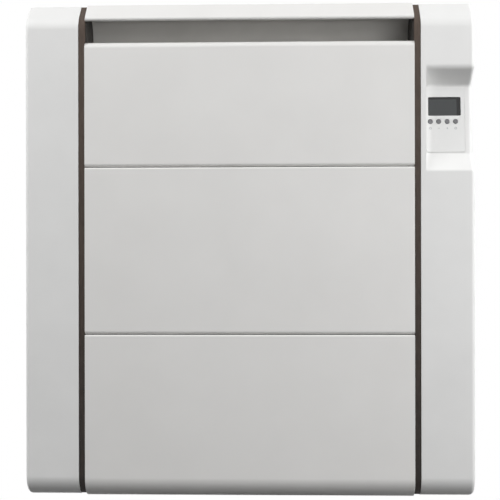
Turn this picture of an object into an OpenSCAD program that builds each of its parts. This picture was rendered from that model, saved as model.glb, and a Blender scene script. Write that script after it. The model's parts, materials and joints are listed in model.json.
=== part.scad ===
// Wall-hung electric radiator with three front panels, a warm air slot and a control pocket.
// Millimetres. The origin is the centre of the wall screw pattern, on the wall plane.
// +X is to the right seen from the front, +Y points into the wall and +Z is up.

/* [Overall size] */
// Width across both end caps
overall_w = 523; // [480:10:700]
// Height of the panelled body
body_h = 580; // [560:5:640]
// Depth from the front face to the back of the rear cover
body_d = 78; // [76:1:90]
// Free gap between the wall and the rear cover
wall_gap = 16; // [14:1:24]

/* [Front] */
// Sheet thickness of the front panels and the top rail
panel_t = 1.6; // [1.2:0.1:1.8]
// Height of the lower front panel
lower_panel_h = 191; // [180:0.5:200]
// Height of the middle front panel
middle_panel_h = 195; // [190:0.5:205]
// Open gap at each joint between two panels
joint_gap = 1.8; // [0.8:0.1:2.2]
// Outside bend radius at a panel joint
joint_r = 2; // [2:0.1:3]
// Radius of the rounded foot of the front
foot_r = 20; // [14:1:24]
// How far the foot of the lower panel runs back under the body
foot_return = 34; // [30:1:38]
// Height of the warm air slot
slot_h = 25.5; // [20:0.5:32]
// Outside radius of the panel edge under the slot
slot_edge_r = 5; // [3:0.5:7]
// Height of the sloped top edge
slope_h = 22.5; // [18:0.5:26]
// Depth of the sloped top edge
slope_d = 22; // [16:1:28]
// Outside radius where the slope meets the top
slope_r = 6; // [4:1:9]
// Outside radius where the slope of an end cap meets its front
slope_bend_r = 13; // [6:1:18]

/* [End caps] */
// Width of one end cap
cap_w = 62.4; // [60:0.2:70]
// Width of the dark seam between the body and an end cap
seam_w = 7.2; // [5.6:0.2:8]
// Wall thickness of an end cap
cap_wall = 2.6; // [2.2:0.1:3]
// Radius of the outer edges of an end cap
cap_edge_r = 5; // [4:0.5:6]
// How much lower than the body an end cap stops, at the top and at the bottom
cap_step = 1.6; // [0.5:0.1:2]
// How much lower than the end caps the face of the seam lies
seam_step = 0.5; // [0.2:0.1:1.5]
// Height above and below the middle of the two screws that hold an end cap
cap_screw_z = 255; // [245:1:262]

/* [Control pocket] */
// Distance from the top of the body down to the pocket
pocket_drop = 80; // [65:0.5:90]
// Height of the whole pocket
pocket_h = 119; // [118:0.5:130]
// Depth of the pocket at the top of its floor
pocket_d_top = 22; // [20:1:24]
// Depth of the pocket at the bottom of its floor
pocket_d_low = 15; // [13:1:18]
// Height of the overhang above the floor
overhang_h = 18; // [16:1:19]
// Height of the slope below the floor
sill_h = 20.5; // [17:0.5:21.5]
// Width of the rib between the seam and the pocket
pocket_rib = 6; // [5.5:0.5:7]
// Width of the fascia that fills the floor
fascia_w = 45; // [44.5:0.5:46]
// Height of the fascia
fascia_h = 77; // [75:0.5:78]
// Thickness of the fascia
fascia_t = 1.8; // [1.6:0.1:2.2]
// Width of the display window
display_w = 37.8; // [32:0.2:38]
// Height of the display window
display_h = 22; // [18:0.2:22.6]
// Diameter of a button
button_dia = 5.4; // [4.6:0.1:6]
// Distance from one button to the next
button_pitch = 9.8; // [9:0.1:10]
// How far a button goes in
button_travel = 0.5; // [0.3:0.1:0.5]

/* [Heating] */
// Thickness of the plate behind each front panel
core_plate_t = 3; // [2.5:0.1:3.5]
// Distance from one fin to the next
fin_pitch = 14; // [11:0.5:20]
// Diameter of a heating rod
rod_dia = 8; // [6.5:0.5:8.5]
// Distance between the two legs of a heating rod
leg_gap = 40; // [36:1:44]

/* [Frame and wall bracket] */
// Sheet thickness of the side plates
plate_t = 1.5; // [1.2:0.1:1.5]
// Sheet thickness of the rear cover and the intake grille
cover_t = 1.2; // [0.8:0.1:1.2]
// Sheet thickness of the wall bracket
bracket_t = 2; // [1.5:0.1:2.5]
// Distance between the wall screws across
wall_screw_x = 260; // [220:5:300]
// Distance between the wall screws up and down
wall_screw_z = 300; // [260:5:320]
// Diameter of a wall screw hole
wall_hole_dia = 6.5; // [5:0.5:8]
// Distance from the top of the body down to the bracket hooks
hook_drop = 106; // [100:1:114]

/* [Hidden] */
$fn = 48;

// Clearances
gap = 0.3;              // between sheet parts that only lie beside each other
side_gap = 0.4;         // between the side plates and what stands between them
running = 0.15;         // round a button, and round a rod in its core
thread_gap = 0.05;      // between a screw and the hole it holds in
flat_angle = 12;        // turn from one flat of a bend to the next
least_r = 0.8;          // smallest radius left where a rounded outline is drawn in

// Planes
front_y = -(wall_gap + body_d);
back_y = -wall_gap;
top_z = body_h / 2;
bottom_z = -body_h / 2;
body_x = overall_w / 2 - cap_w - seam_w;
cap_x = overall_w / 2 - cap_w;
out_x = overall_w / 2;
plate_x = body_x - plate_t;
inner_x = plate_x - side_gap;
slot_top = top_z - slope_h;
hook_z = top_z - hook_drop;
slot_bottom = slot_top - slot_h;
joint_1 = bottom_z + lower_panel_h;
joint_2 = joint_1 + middle_panel_h;

// Rear of the body
cover_in_y = back_y - cover_t;
flange_y = cover_in_y - gap;            // back face of everything screwed to the cover

// Cross rails, and the room that the fins leave in front of them
rail_h = 34;
rail_d = 15;
rail_y = flange_y - plate_t - gap;      // back face of a cross rail
shield_room = 14;

// Front panels and heater cores
core_gap = 0.5;
core_front_y = front_y + panel_t + core_gap;
core_back_y = core_front_y + core_plate_t;
hook_y = core_back_y + gap + panel_t;   // back face of the hooks on a panel
hook_lip = 8;
foot_y = front_y + foot_return;
foot_lip = 12;
fin_y = rail_y - rail_d - shield_room;
rod_r = rod_dia / 2;
rod_boss_r = rod_r + 2.5;
rod_y = fin_y - rod_boss_r - 1.5;
shield_t = 0.8;
shield_y = fin_y + 4;
core_left_x = -(inner_x - leg_gap / 2 - rod_r - 9);
core_right_x = inner_x - 5;
edge_gap = panel_t + side_gap;
cores = [
    [slot_bottom - edge_gap - 0.5 * (slot_edge_r - panel_t), joint_2 + joint_gap / 2 + edge_gap],
    [joint_2 - joint_gap / 2 - edge_gap, joint_1 + joint_gap / 2 + edge_gap],
    [joint_1 - joint_gap / 2 - edge_gap, bottom_z + foot_r + 4]
];
fin_inset = 9;
core_screw_inset = 25;
core_screw_y = core_back_y + 9;
core_screw_r = 1.7;
core_screw_len = 12;

// End caps, end frames and their screws
frame_inset = cap_wall + side_gap;
frame_plate_t = 2.5;
frame_wall = 2.5;
frame_lip = 4;                          // how far an end frame reaches into its cap
screw_window_r = 4.2;                   // hole in an end frame for the head of a core screw
frame_in_x = body_x + frame_plate_t;
cap_screw_x = out_x - 35;
cap_screw_r = 1.6;
cap_boss_r = 4.5;
lug_y = back_y - 19.5;
lug_t = 2.5;

// Control pocket
pocket_top = top_z - pocket_drop;
pocket_low = pocket_top - pocket_h;
pocket_x = cap_x + pocket_rib;
floor_top = [front_y + pocket_d_top, pocket_top - overhang_h];
floor_low = [front_y + pocket_d_low, pocket_low + sill_h];
floor_tilt = atan2(floor_top[0] - floor_low[0], floor_top[1] - floor_low[1]);
floor_mid = (floor_top + floor_low) / 2;
floor_x = (pocket_x + out_x - cap_edge_r) / 2 - 1;
fascia_proud = 0.6;
fascia_r = 2;
display_u = -0.9;                       // place of the display from the middle of the fascia
display_v = 15.6;
lens_flange = 0.8;
board_y = 8.7;                          // front face of the control board
board_t = 1.6;
post_u = 15;
post_v = [33, -32];
post_r = 2.5;
board_screw_r = 1;
button_u = -2.8;                        // place of the middle of the row of buttons
button_v = -2.3;
button_r = button_dia / 2;
collar_r = button_r + 0.8;
ledge = fascia_w / 2 - (1.5 * button_pitch - button_u + collar_r + gap);   // the cap's edge behind the fascia
button_proud = 0.8;

// Power electronics in the right end cap
power_y = [front_y + 12, back_y - 14];
power_z = [joint_1 - 42, joint_1 + 58];
power_x = body_x + 15.5;
power_screw_r = 1.4;
power_post_r = 3.2;
wire_r = 1.4;
lane_y = rod_y + 14;
lane_pitch = 3.6;
rod_tip_x = frame_in_x + 11;

// Mains switch, sunk in a well in the side of the right end cap
switch_y = (front_y + back_y) / 2 + 3;
switch_z = bottom_z + 65;
well_d = 4;
well_w = 28;
well_h = 38;
switch_bezel_t = 1.8;
switch_w = 19.6;
switch_h = 28.6;
switch_depth = 23;
rocker_w = 14.4;
rocker_half = 12;
rocker_gap = 0.5;
pivot_x = out_x - 8.5;
pivot_r = 1.5;
rocker_swing = 8;

// Bracket
bracket_h = 2 * hook_z + 22;
strap_w = 36;
bar_h = 40;
hook_w = 20;
hook_rise = 10;

// Outline functions
function unit(v) = v / norm(v);
function left_of(u) = [-u[1], u[0]];
function spun(v, a) = [v[0] * cos(a) - v[1] * sin(a), v[0] * sin(a) + v[1] * cos(a)];
function turn(a, b, c) =
    let (u = unit(b - a), v = unit(c - b))
    atan2(u[0] * v[1] - u[1] * v[0], u * v);

// The corner at b, rounded to radius r, as points.
function corner(a, b, c, r) =
    let (w = turn(a, b, c), u = unit(b - a))
    r < 0.01 || abs(w) < 0.01 ? [b] :
    let (
        start = b - r * tan(abs(w) / 2) * u,
        centre = start + sign(w) * r * left_of(u),
        flats = ceil(abs(w) / flat_angle)
    )
    [for (i = [0:flats]) centre + spun(start - centre, w * i / flats)];

function moved(a, b, c, d) =
    let (m = left_of(unit(b - a)), n = left_of(unit(c - b)))
    b + d * (m + n) / (1 + m * n);

// A closed outline that runs anticlockwise, drawn in by d, with a radius at each corner.
function rounded(points, radii, d = 0) =
    let (
        n = len(points),
        inner = [for (i = [0:n - 1]) moved(points[(i + n - 1) % n], points[i], points[(i + 1) % n], d)]
    )
    [for (i = [0:n - 1])
        let (a = inner[(i + n - 1) % n], b = inner[i], c = inner[(i + 1) % n])
        each corner(a, b, c, radii[i] == 0 ? 0 : max(radii[i] - d * sign(turn(a, b, c)), least_r))];

function bent_line(points, radii) =
    let (n = len(points))
    [
        points[0],
        for (i = [1:n - 2]) each corner(points[i - 1], points[i], points[i + 1], radii[i]),
        points[n - 1]
    ];

function beside(points, t) =
    let (n = len(points))
    [for (i = [0:n - 1])
        i == 0 ? points[0] + t * left_of(unit(points[1] - points[0])) :
        i == n - 1 ? points[i] + t * left_of(unit(points[i] - points[i - 1])) :
        moved(points[i - 1], points[i], points[i + 1], t)];

// A bent sheet of thickness t on the left of a line, with the line's radius at each bend.
module bent(points, radii, t) {
    inside = [for (i = [0:len(points) - 1])
        i == 0 || i == len(points) - 1 ? 0 :
        max(radii[i] - t * sign(turn(points[i - 1], points[i], points[i + 1])), 0.2)];
    back = bent_line(beside(points, t), inside);
    polygon(concat(bent_line(points, radii), [for (i = [len(back) - 1:-1:0]) back[i]]));
}

// Extrudes a drawing in Y and Z along X.
module along_x(x0, x1) translate([x0, 0, 0]) rotate([90, 0, 90]) linear_extrude(x1 - x0) children();

// Extrudes a drawing in X and Z along Y.
module along_y(y0, y1) translate([0, y1, 0]) rotate([90, 0, 0]) linear_extrude(y1 - y0) children();

module rod_x(x0, x1, r) translate([x0, 0, 0]) rotate([0, 90, 0]) cylinder(r = r, h = x1 - x0);
module rod_y(y0, y1, r) translate([0, y0, 0]) rotate([-90, 0, 0]) cylinder(r = r, h = y1 - y0);

module plate(w, h, r) {
    square([w - 2 * r, h], center = true);
    square([w, h - 2 * r], center = true);
    for (x = [-1, 1], y = [-1, 1]) translate([x * (w / 2 - r), y * (h / 2 - r)]) circle(r = r);
}

module slot_2d(length, width) {
    square([length - width, width], center = true);
    for (x = [-1, 1]) translate([x * (length - width) / 2, 0]) circle(d = width);
}

module block(low, high) translate(low) cube(high - low);

module both_sides() {
    children();
    mirror([1, 0, 0]) children();
}

// A solid through rings of points that all have the same count.
module lofted(rings) {
    n = len(rings[0]);
    last = n * (len(rings) - 1);
    polyhedron(
        points = [for (ring = rings) each ring],
        faces = concat(
            [[for (i = [0:n - 1]) i]],
            [for (k = [0:len(rings) - 2], i = [0:n - 1])
                [k * n + i, (k + 1) * n + i, (k + 1) * n + (i + 1) % n, k * n + (i + 1) % n]],
            [[for (i = [n - 1:-1:0]) last + i]]
        )
    );
}

// A solid ring through rings of points, where the last joins the first.
module belt(rings) {
    n = len(rings[0]);
    m = len(rings);
    polyhedron(
        points = [for (ring = rings) each ring],
        faces = [for (k = [0:m - 1], i = [0:n - 1])
            let (a = k * n, b = (k + 1) % m * n, j = (i + 1) % n) [a + i, b + i, b + j, a + j]]
    );
}

// A round wire or lead through points, eased at its corners.
function eased(points, r) =
    let (n = len(points))
    [points[0],
        for (i = [1:n - 2])
            let (b = points[i], a = b - r * unit(b - points[i - 1]), c = b + r * unit(points[i + 1] - b))
            each [for (s = [0:0.25:1]) (1 - s) * (1 - s) * a + 2 * s * (1 - s) * b + s * s * c],
        points[n - 1]];
function tangent(p, i) = unit(p[min(i + 1, len(p) - 1)] - p[max(i - 1, 0)]);
function square_to(v, t) = unit(v - (v * t) * t);
function sides(p, i, side) =
    let (s = square_to(side, tangent(p, i)))
    i == len(p) - 1 ? [s] : concat([s], sides(p, i + 1, s));

module wire(points, r, ease, side) {
    p = eased(points, ease);
    s = sides(p, 0, side);
    lofted([for (i = [0:len(p) - 1])
        let (t = tangent(p, i), across = cross(t, s[i]))
        [for (a = [0:45:315]) p[i] + r * (cos(a) * s[i] + sin(a) * across)]]);
}

// Front panels and top rail
module front_panel(z0, z1, low_r, top_r, back, lip) {
    color("whitesmoke") along_x(-body_x, body_x) bent(
        [[hook_y, z1 - hook_lip], [hook_y, z1], [front_y, z1], [front_y, z0], [back, z0], [back, z0 + lip]],
        [0, joint_r, top_r, low_r, joint_r, 0], panel_t);
}

module upper_front_panel()
    front_panel(joint_2 + joint_gap / 2, slot_bottom, joint_r, slot_edge_r, hook_y, hook_lip);
module middle_front_panel()
    front_panel(joint_1 + joint_gap / 2, joint_2 - joint_gap / 2, joint_r, joint_r, hook_y, hook_lip);
module lower_front_panel()
    front_panel(bottom_z, joint_1 - joint_gap / 2, foot_r, joint_r, foot_y, foot_lip);

rail_flange = 22;
rail_lip = 7.5;
module top_rail() {
    color("white") difference() {
        along_x(-body_x, body_x) bent(
            [[flange_y, top_z - rail_flange], [flange_y, top_z], [front_y + slope_d, top_z],
                [front_y, slot_top], [front_y + rail_lip, slot_top]],
            [0, 3, slope_r, joint_r, 0], panel_t);
        for (x = cover_edge_x) translate([x, 0, cover_edge_z[1]])
            rod_y(flange_y - panel_t - 1, flange_y + 1, cover_screw_r + thread_gap);
    }
}

// Warm air path
guard_z = slot_bottom - hook_lip + 1;
deflector_y = shield_y + 1.5;
deflector_front = front_y + slope_d - 4;
deflector_r = min(28, deflector_y - deflector_front - 2);
deflector_drop = 8;
guard_lip = 4;
module outlet_deflector() {
    color("dimgray") along_x(-inner_x, inner_x) bent(
        [[deflector_y, guard_z - guard_lip], [deflector_y, top_z - deflector_drop],
            [deflector_front, top_z - deflector_drop]],
        [0, deflector_r, 0], 1);
}

guard_slot = 34;
guard_pitch = 39;
module outlet_guard() {
    front = hook_y + gap;
    back = deflector_y - 1 - gap;
    columns = floor((2 * inner_x - 10) / guard_pitch);
    color("gray") difference() {
        along_x(-inner_x, inner_x)
            bent([[back, guard_z], [front, guard_z], [front, guard_z - guard_lip]], [0, 1.6, 0], 1);
        for (i = [0:columns - 1], y = [0.2, 0.5, 0.8])
            translate([(i - (columns - 1) / 2) * guard_pitch, front + 2 + y * (back - front - 2), 0])
                translate([0, 0, guard_z - 3]) linear_extrude(6) slot_2d(guard_slot, 6);
    }
}

module heat_shield() {
    foot_z = cores[2][1] - 4;
    color("lightgray") along_x(-inner_x, inner_x) bent(
        [[shield_y, guard_z - guard_lip - 2], [shield_y, foot_z], [rail_y - rail_d - 2, foot_z]],
        [0, 1.5, 0], shield_t);
}

grille_slot = 26;
grille_flange = 18;
grille_pitch = 32;
module intake_grille() {
    front = foot_y + gap;
    columns = floor((2 * inner_x - 8) / grille_pitch);
    color("whitesmoke") difference() {
        along_x(-inner_x, inner_x) bent(
            [[front, bottom_z + foot_lip + 2], [front, bottom_z],
                [flange_y, bottom_z], [flange_y, bottom_z + grille_flange]],
            [0, 1.6, 1.6, 0], cover_t);
        for (i = [0:columns - 1], y = [0.2, 0.5, 0.8])
            translate([(i - (columns - 1) / 2) * grille_pitch, front + y * (flange_y - front), bottom_z - 2])
                linear_extrude(6) slot_2d(grille_slot, 5);
        for (x = cover_edge_x) translate([x, 0, cover_edge_z[0]])
            rod_y(flange_y - 3, flange_y + 1, cover_screw_r + thread_gap);
    }
}

// Rear cover, with a window for each bracket arm and two fields of vents
cover_margin = 3;
cover_screw_r = 1.7;
cover_side_x = inner_x - 8;
cover_side_z = [for (s = [-1.5:1:1.5]) s * (body_h - 100) / 3];
cover_edge_x = [-body_x * 0.46, body_x * 0.46];
cover_edge_z = [bottom_z + 11, top_z - 12];
window_w = hook_w + 14;
window_h = 34;
vent_w = 58;
vent_pitch = 10;
module rear_cover() {
    color("gainsboro") difference() {
        along_y(cover_in_y, back_y) plate(2 * (body_x - gap), body_h - 2 * cover_margin, 3);
        for (x = [-1, 1] * wall_screw_x / 2, z = [-1, 1] * hook_z)
            translate([x, cover_in_y - 1, z]) along_y(0, cover_t + 2) plate(window_w, window_h, 3);
        for (x = [-1.5:1:1.5], i = [0:5], z = [bottom_z + 40, hook_z + 30])
            translate([x * (vent_w + 14), cover_in_y - 1, z + i * vent_pitch])
                along_y(0, cover_t + 2) slot_2d(vent_w, 4);
        for (p = cover_screw_places()) translate([p[0], 0, p[1]])
            rod_y(cover_in_y - 1, back_y + 1, cover_screw_r + gap);
    }
}
function cover_screw_places() = concat(
    [for (x = [-1, 1] * cover_side_x, z = cover_side_z) [x, z]],
    [for (x = cover_edge_x, z = cover_edge_z) [x, z]]
);

// A pan-head screw that points along +Z, with the underside of its head at the origin.
module screw(r, length, head_r = 3.3, head_h = 2.2) {
    cylinder(r = r, h = length);
    rotate_extrude() polygon([
        [0, 0], [head_r, 0], [head_r, -head_h * 0.45],
        for (a = [15:15:90]) [head_r * cos(a) , -head_h * (0.45 + 0.55 * sin(a))]
    ]);
}

module cover_screws() {
    color("silver") for (p = cover_screw_places())
        translate([p[0], back_y, p[1]]) rotate([90, 0, 0]) screw(cover_screw_r, 9);
}

// Steel side plates
flange_w = 17;
function body_points(front, back, low, top) = [
    [back, 0], [back, top], [front + slope_d, top],
    [front, top - slope_h], [front, low], [back, low]
];
body_radii = [0, 3, slope_r, slope_bend_r, foot_r, 3];

plate_inset = panel_t + gap;
plate_points =
    body_points(hook_y + gap - plate_inset, flange_y, bottom_z + foot_lip + gap - plate_inset, top_z);
module side_plate(right) {
    flange_z = [bottom_z + 22, top_z - rail_flange - 4];
    color("silver") difference() {
        union() {
            along_x(plate_x, body_x) polygon(rounded(plate_points, body_radii, plate_inset));
            block([plate_x, flange_y - 6, flange_z[0]], [body_x, flange_y, flange_z[1]]);
            block([plate_x - flange_w, flange_y - plate_t, flange_z[0]], [body_x, flange_y, flange_z[1]]);
        }
        for (z = cover_side_z) translate([cover_side_x, 0, z])
            rod_y(flange_y - 3, flange_y + 1, cover_screw_r + thread_gap);
        for (p = core_screw_places())
            translate([0, p[0], p[1]]) rod_x(plate_x - 1, body_x + 1, core_screw_r + gap);
        if (right) for (p = rod_places())
            translate([0, p[0], p[1]]) rod_x(plate_x - 1, body_x + 1, bush_r + gap);
    }
}
module left_side_plate() mirror([1, 0, 0]) side_plate(false);
module right_side_plate() side_plate(true);

// Cross rails that hang on the bracket
module cross_rail(z, low, top) {
    color("silver") difference() {
        along_x(-inner_x, inner_x) bent(
            [[rail_y - rail_d, z - rail_h / 2], [rail_y, z - rail_h / 2],
                [rail_y, z + rail_h / 2], [rail_y - rail_d, z + rail_h / 2]],
            [0, 2, 2, 0], plate_t);
        for (x = [-1, 1] * wall_screw_x / 2)
            block([x - hook_w / 2 - 2, rail_y - plate_t - 1, low], [x + hook_w / 2 + 2, rail_y + 1, top]);
    }
}
module upper_cross_rail() cross_rail(hook_z, hook_z - hook_rise - 3, hook_z + gap);
module lower_cross_rail() cross_rail(-hook_z, -hook_z - 5, -hook_z + 5);

// Plastic end frames, whose edge shows as the dark seam
frame_ribs = [top_z - 45, joint_2 - 14, 46, -46, joint_1 - 50, bottom_z + 55];
cap_points = body_points(front_y, back_y, bottom_z + cap_step, top_z - cap_step);
module end_frame(right) {
    color("#2b2522") difference() {
        union() {
            difference() {
                union() {
                    along_x(body_x, cap_x - gap) polygon(rounded(cap_points, body_radii, seam_step));
                    along_x(body_x, cap_x + frame_lip) polygon(rounded(cap_points, body_radii, frame_inset));
                }
                along_x(frame_in_x, cap_x + frame_lip + 1)
                    polygon(rounded(cap_points, body_radii, frame_inset + frame_wall));
            }
            for (z = frame_ribs) block(
                [frame_in_x - 1, front_y + frame_inset + 1, z - 1], [cap_x, back_y - frame_inset - 1, z + 1]);
            for (z = [-1, 1] * cap_screw_z)
                block([frame_in_x - 1, lug_y - lug_t, z - 8], [cap_screw_x + 7, lug_y, z + 8]);
            if (right) for (y = power_screw_y(), z = power_screw_z())
                translate([0, y, z]) rod_x(frame_in_x - 1, power_x, power_post_r);
        }
        for (z = [-1, 1] * cap_screw_z) translate([cap_screw_x, 0, z])
            rod_y(lug_y - lug_t - 1, lug_y + 1, cap_screw_r + thread_gap);
        for (p = core_screw_places())
            translate([0, p[0], p[1]]) rod_x(body_x - 1, frame_in_x + 3, screw_window_r);
        if (right) {
            for (p = rod_places())
                translate([0, p[0], p[1]]) rod_x(body_x - 1, frame_in_x + 3, bush_r + gap);
            for (y = power_screw_y(), z = power_screw_z())
                translate([0, y, z]) rod_x(body_x + 1, power_x + 1, power_screw_r + thread_gap);
        }
    }
}
function power_screw_y() = [power_y[0] + 5, power_y[1] - 5];
function power_screw_z() = [power_z[0] + 5, power_z[1] - 5];
module left_end_frame() mirror([1, 0, 0]) end_frame(false);
module right_end_frame() end_frame(true);

// End caps, as one shell whose outer edge is rounded
function pocket_points() = let (p = cap_points)
    [p[0], p[1], p[2], p[3], [front_y, pocket_top], floor_top, floor_low, [front_y, pocket_low], p[4], p[5]];
pocket_radii = [0, 3, slope_r, slope_bend_r, 3, 2.5, 4, 5, foot_r, 3];

// The rounded edge of a cap: a belt round the outline, between its walls and its outer face,
// which laps a little way into both.
cap_lap = 0.5;
function ring_at(points, radii, d, x) = [for (p = rounded(points, radii, d)) [x, p[0], p[1]]];
function cap_ring(points, radii, wall, a) =
    let (r = cap_edge_r - wall)
    ring_at(points, radii, cap_edge_r - r * cos(a), out_x - cap_edge_r + r * sin(a));
module cap_shell(points, radii) {
    along_x(cap_x, out_x - cap_edge_r) difference() {
        polygon(rounded(points, radii));
        polygon(rounded(points, radii, cap_wall));
    }
    belt([
        ring_at(points, radii, cap_edge_r + cap_lap, out_x - cap_wall),
        for (a = [90:-18:0]) cap_ring(points, radii, cap_wall, a),
        ring_at(points, radii, cap_wall, out_x - cap_edge_r - cap_lap),
        ring_at(points, radii, 0, out_x - cap_edge_r - cap_lap),
        for (a = [0:18:90]) cap_ring(points, radii, 0, a),
        ring_at(points, radii, cap_edge_r + cap_lap, out_x)
    ]);
    along_x(out_x - cap_wall, out_x) polygon(rounded(points, radii, cap_edge_r));
}

module cap_boss(z) translate([cap_screw_x, 0, z]) rod_y(lug_y + gap, back_y - 1, cap_boss_r);
module cap_screw_hole(z) translate([cap_screw_x, 0, z]) rod_y(lug_y - 1, back_y + 1, cap_screw_r + gap);

cap_rib_t = 1.8;
cap_rib_d = 8;
cap_rib_reach = 40;
cap_rib_pitch = 75;
power_rib_z = 10;       // the top rib behind the power board
power_rib_pitch = 70;
module cap_rib(z) {
    x0 = cap_x + frame_lip + 1;
    x1 = out_x - cap_edge_r;
    y0 = front_y + cap_wall;
    difference() {
        block([x0, y0 - 1, z - cap_rib_t / 2], [x1, y0 + cap_rib_reach, z + cap_rib_t / 2]);
        block([x0 - 1, y0 + cap_rib_d, z - cap_rib_t],
            [x1 - cap_rib_d, y0 + cap_rib_reach + 1, z + cap_rib_t]);
    }
}

module left_end_cap() {
    color("white") mirror([1, 0, 0]) difference() {
        union() {
            cap_shell(cap_points, body_radii);
            for (z = [-1, 1] * cap_screw_z) cap_boss(z);
            for (k = [-2:2]) cap_rib(k * cap_rib_pitch);
        }
        for (z = [-1, 1] * cap_screw_z) cap_screw_hole(z);
    }
}

// Places its children on the floor of the pocket: x across, y into the cap, z up the floor.
module on_floor() translate([floor_x, floor_mid[0], floor_mid[1]]) rotate([-floor_tilt, 0, 0]) children();

rib_lap = 1.3;
module rib_outline() polygon([
    [front_y, pocket_top + 2], [front_y, pocket_low - 2], [front_y + rib_lap, pocket_low - 2],
    floor_low + [rib_lap, 0], floor_top + [rib_lap, 0], [front_y + rib_lap, pocket_top + 2]
]);

inlet_inset = 22;
inlet_up = 50;
inlet_x = out_x - inlet_inset;
inlet_z = bottom_z + inlet_up;
inlet_hole_r = 7;
module right_end_cap() {
    floor_x1 = out_x - well_d;
    color("white") difference() {
        union() {
            cap_shell(pocket_points(), pocket_radii);
            along_x(cap_x, pocket_x) rib_outline();
            for (z = [-1, 1] * cap_screw_z) cap_boss(z);
            for (k = [0:2]) cap_rib(power_rib_z - k * power_rib_pitch);
            block([floor_x1 - cap_wall, switch_y - well_w / 2 - cap_wall, switch_z - well_h / 2 - cap_wall],
                [out_x - 1, switch_y + well_w / 2 + cap_wall, switch_z + well_h / 2 + cap_wall]);
        }
        along_x(cap_x - 1, cap_x + frame_lip + gap) polygon(rounded(cap_points, body_radii, cap_wall));
        for (z = [-1, 1] * cap_screw_z) cap_screw_hole(z);
        translate([floor_x1, switch_y, switch_z]) rotate([90, 0, 90])
            linear_extrude(well_d + 1) plate(well_w, well_h, 3);
        block([floor_x1 - cap_wall - 1, switch_y - switch_w / 2 - gap, switch_z - switch_h / 2 - gap],
            [floor_x1 + 1, switch_y + switch_w / 2 + gap, switch_z + switch_h / 2 + gap]);
        on_floor() {
            along_y(-6, fascia_t - fascia_proud)
                plate(fascia_w + 2 * gap, fascia_h + 2 * gap, fascia_r + gap);
            along_y(-6, 8) plate(fascia_w - 2 * ledge, fascia_h - 2 * ledge, fascia_r);
        }
        translate([inlet_x, 0, inlet_z]) rod_y(back_y - cap_wall - 1, back_y + 1, inlet_hole_r);
    }
}

// Heater cores: a plate with fins and a tube for each leg of the rod
function core_mid(i) = (cores[i][0] + cores[i][1]) / 2;
function rod_places() = [for (i = [0:2], s = [1, -1]) [rod_y, core_mid(i) + s * leg_gap / 2]];
function core_screw_places() = [
    for (i = [0:2]) each [
        [core_screw_y, cores[i][0] - core_screw_inset],
        [core_screw_y, cores[i][1] + core_screw_inset]
    ]
];
bush_r = rod_r + 2.5;
fin_t = 1.6;
core_side_x = inner_x - 4;
lug_r = 4.5;
module heater_core(i) {
    top = cores[i][0];
    low = cores[i][1];
    fins = floor((core_right_x - core_left_x - fin_t) / fin_pitch);
    step = (core_right_x - core_left_x - fin_t) / fins;
    color("silver") difference() {
        union() {
            block([-core_side_x, core_front_y, low], [core_side_x, core_back_y, top]);
            for (k = [0:fins])
                block([core_left_x + k * step, core_back_y - 0.5, low + fin_inset],
                    [core_left_x + k * step + fin_t, fin_y, top - fin_inset]);
            for (s = [1, -1]) translate([0, rod_y, core_mid(i) + s * leg_gap / 2])
                rod_x(core_left_x, core_right_x, rod_boss_r);
            for (z = [top - core_screw_inset, low + core_screw_inset]) both_sides() {
                translate([0, core_screw_y, z]) rod_x(core_side_x - 10, inner_x, lug_r);
                block([core_side_x - 10, core_back_y - 0.5, z - lug_r],
                    [core_side_x, core_screw_y, z + lug_r]);
            }
        }
        for (s = [1, -1]) translate([0, rod_y, core_mid(i) + s * leg_gap / 2])
            rod_x(core_left_x - 1, core_right_x + 1, rod_r + running);
        for (z = [top - core_screw_inset, low + core_screw_inset]) both_sides()
            translate([0, core_screw_y, z])
                rod_x(inner_x - core_screw_len, inner_x + 1, core_screw_r + thread_gap);
    }
}
module upper_heater_core() heater_core(0);
module middle_heater_core() heater_core(1);
module lower_heater_core() heater_core(2);

module core_screws() {
    color("silver") both_sides() for (p = core_screw_places())
        translate([body_x, p[0], p[1]]) rotate([0, -90, 0]) screw(core_screw_r, 10);
}

// Heating rods, each a tube bent into a U, with a pin at the end of each leg
rod_pin_r = 1.2;
rod_pin = 8;
module heating_rod(i) {
    bend_x = core_left_x - 3;
    color("dimgray") translate([0, rod_y, core_mid(i)]) {
        for (s = [1, -1]) translate([0, 0, s * leg_gap / 2]) {
            rod_x(bend_x, rod_tip_x, rod_r);
            rod_x(rod_tip_x - 1, rod_tip_x + rod_pin, rod_pin_r);
        }
        translate([bend_x, 0, 0]) rotate([90, 0, 0])
            rotate_extrude(angle = 180, start = 90) translate([leg_gap / 2, 0]) circle(r = rod_r);
    }
}
module upper_heating_rod() heating_rod(0);
module middle_heating_rod() heating_rod(1);
module lower_heating_rod() heating_rod(2);

module rod_bushes() {
    color("ivory") for (p = rod_places()) translate([0, p[0], p[1]]) difference() {
        union() {
            rod_x(plate_x - 3, frame_in_x + 3, bush_r);
            rod_x(plate_x - 3, plate_x - gap, bush_r + 1.8);
        }
        rod_x(plate_x - 4, frame_in_x + 4, rod_r + thread_gap);
    }
}

// Safety cut-out on the back of the heat shield
cutout_x = inner_x - 60;
cutout_z = hook_z - rail_h / 2 - 20;
cutout_r = 8;
cutout_d = 7;
module thermal_cutout() {
    y0 = shield_y + shield_t;
    color("black") translate([cutout_x, y0, cutout_z]) {
        along_y(0, 1) plate(32, 12, 5.5);
        rod_y(0, cutout_d, cutout_r);
        for (x = [-1, 1] * 4.5) block([x - 0.4, cutout_d - 1, -3], [x + 0.4, cutout_d + 7, 3]);
    }
}

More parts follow.
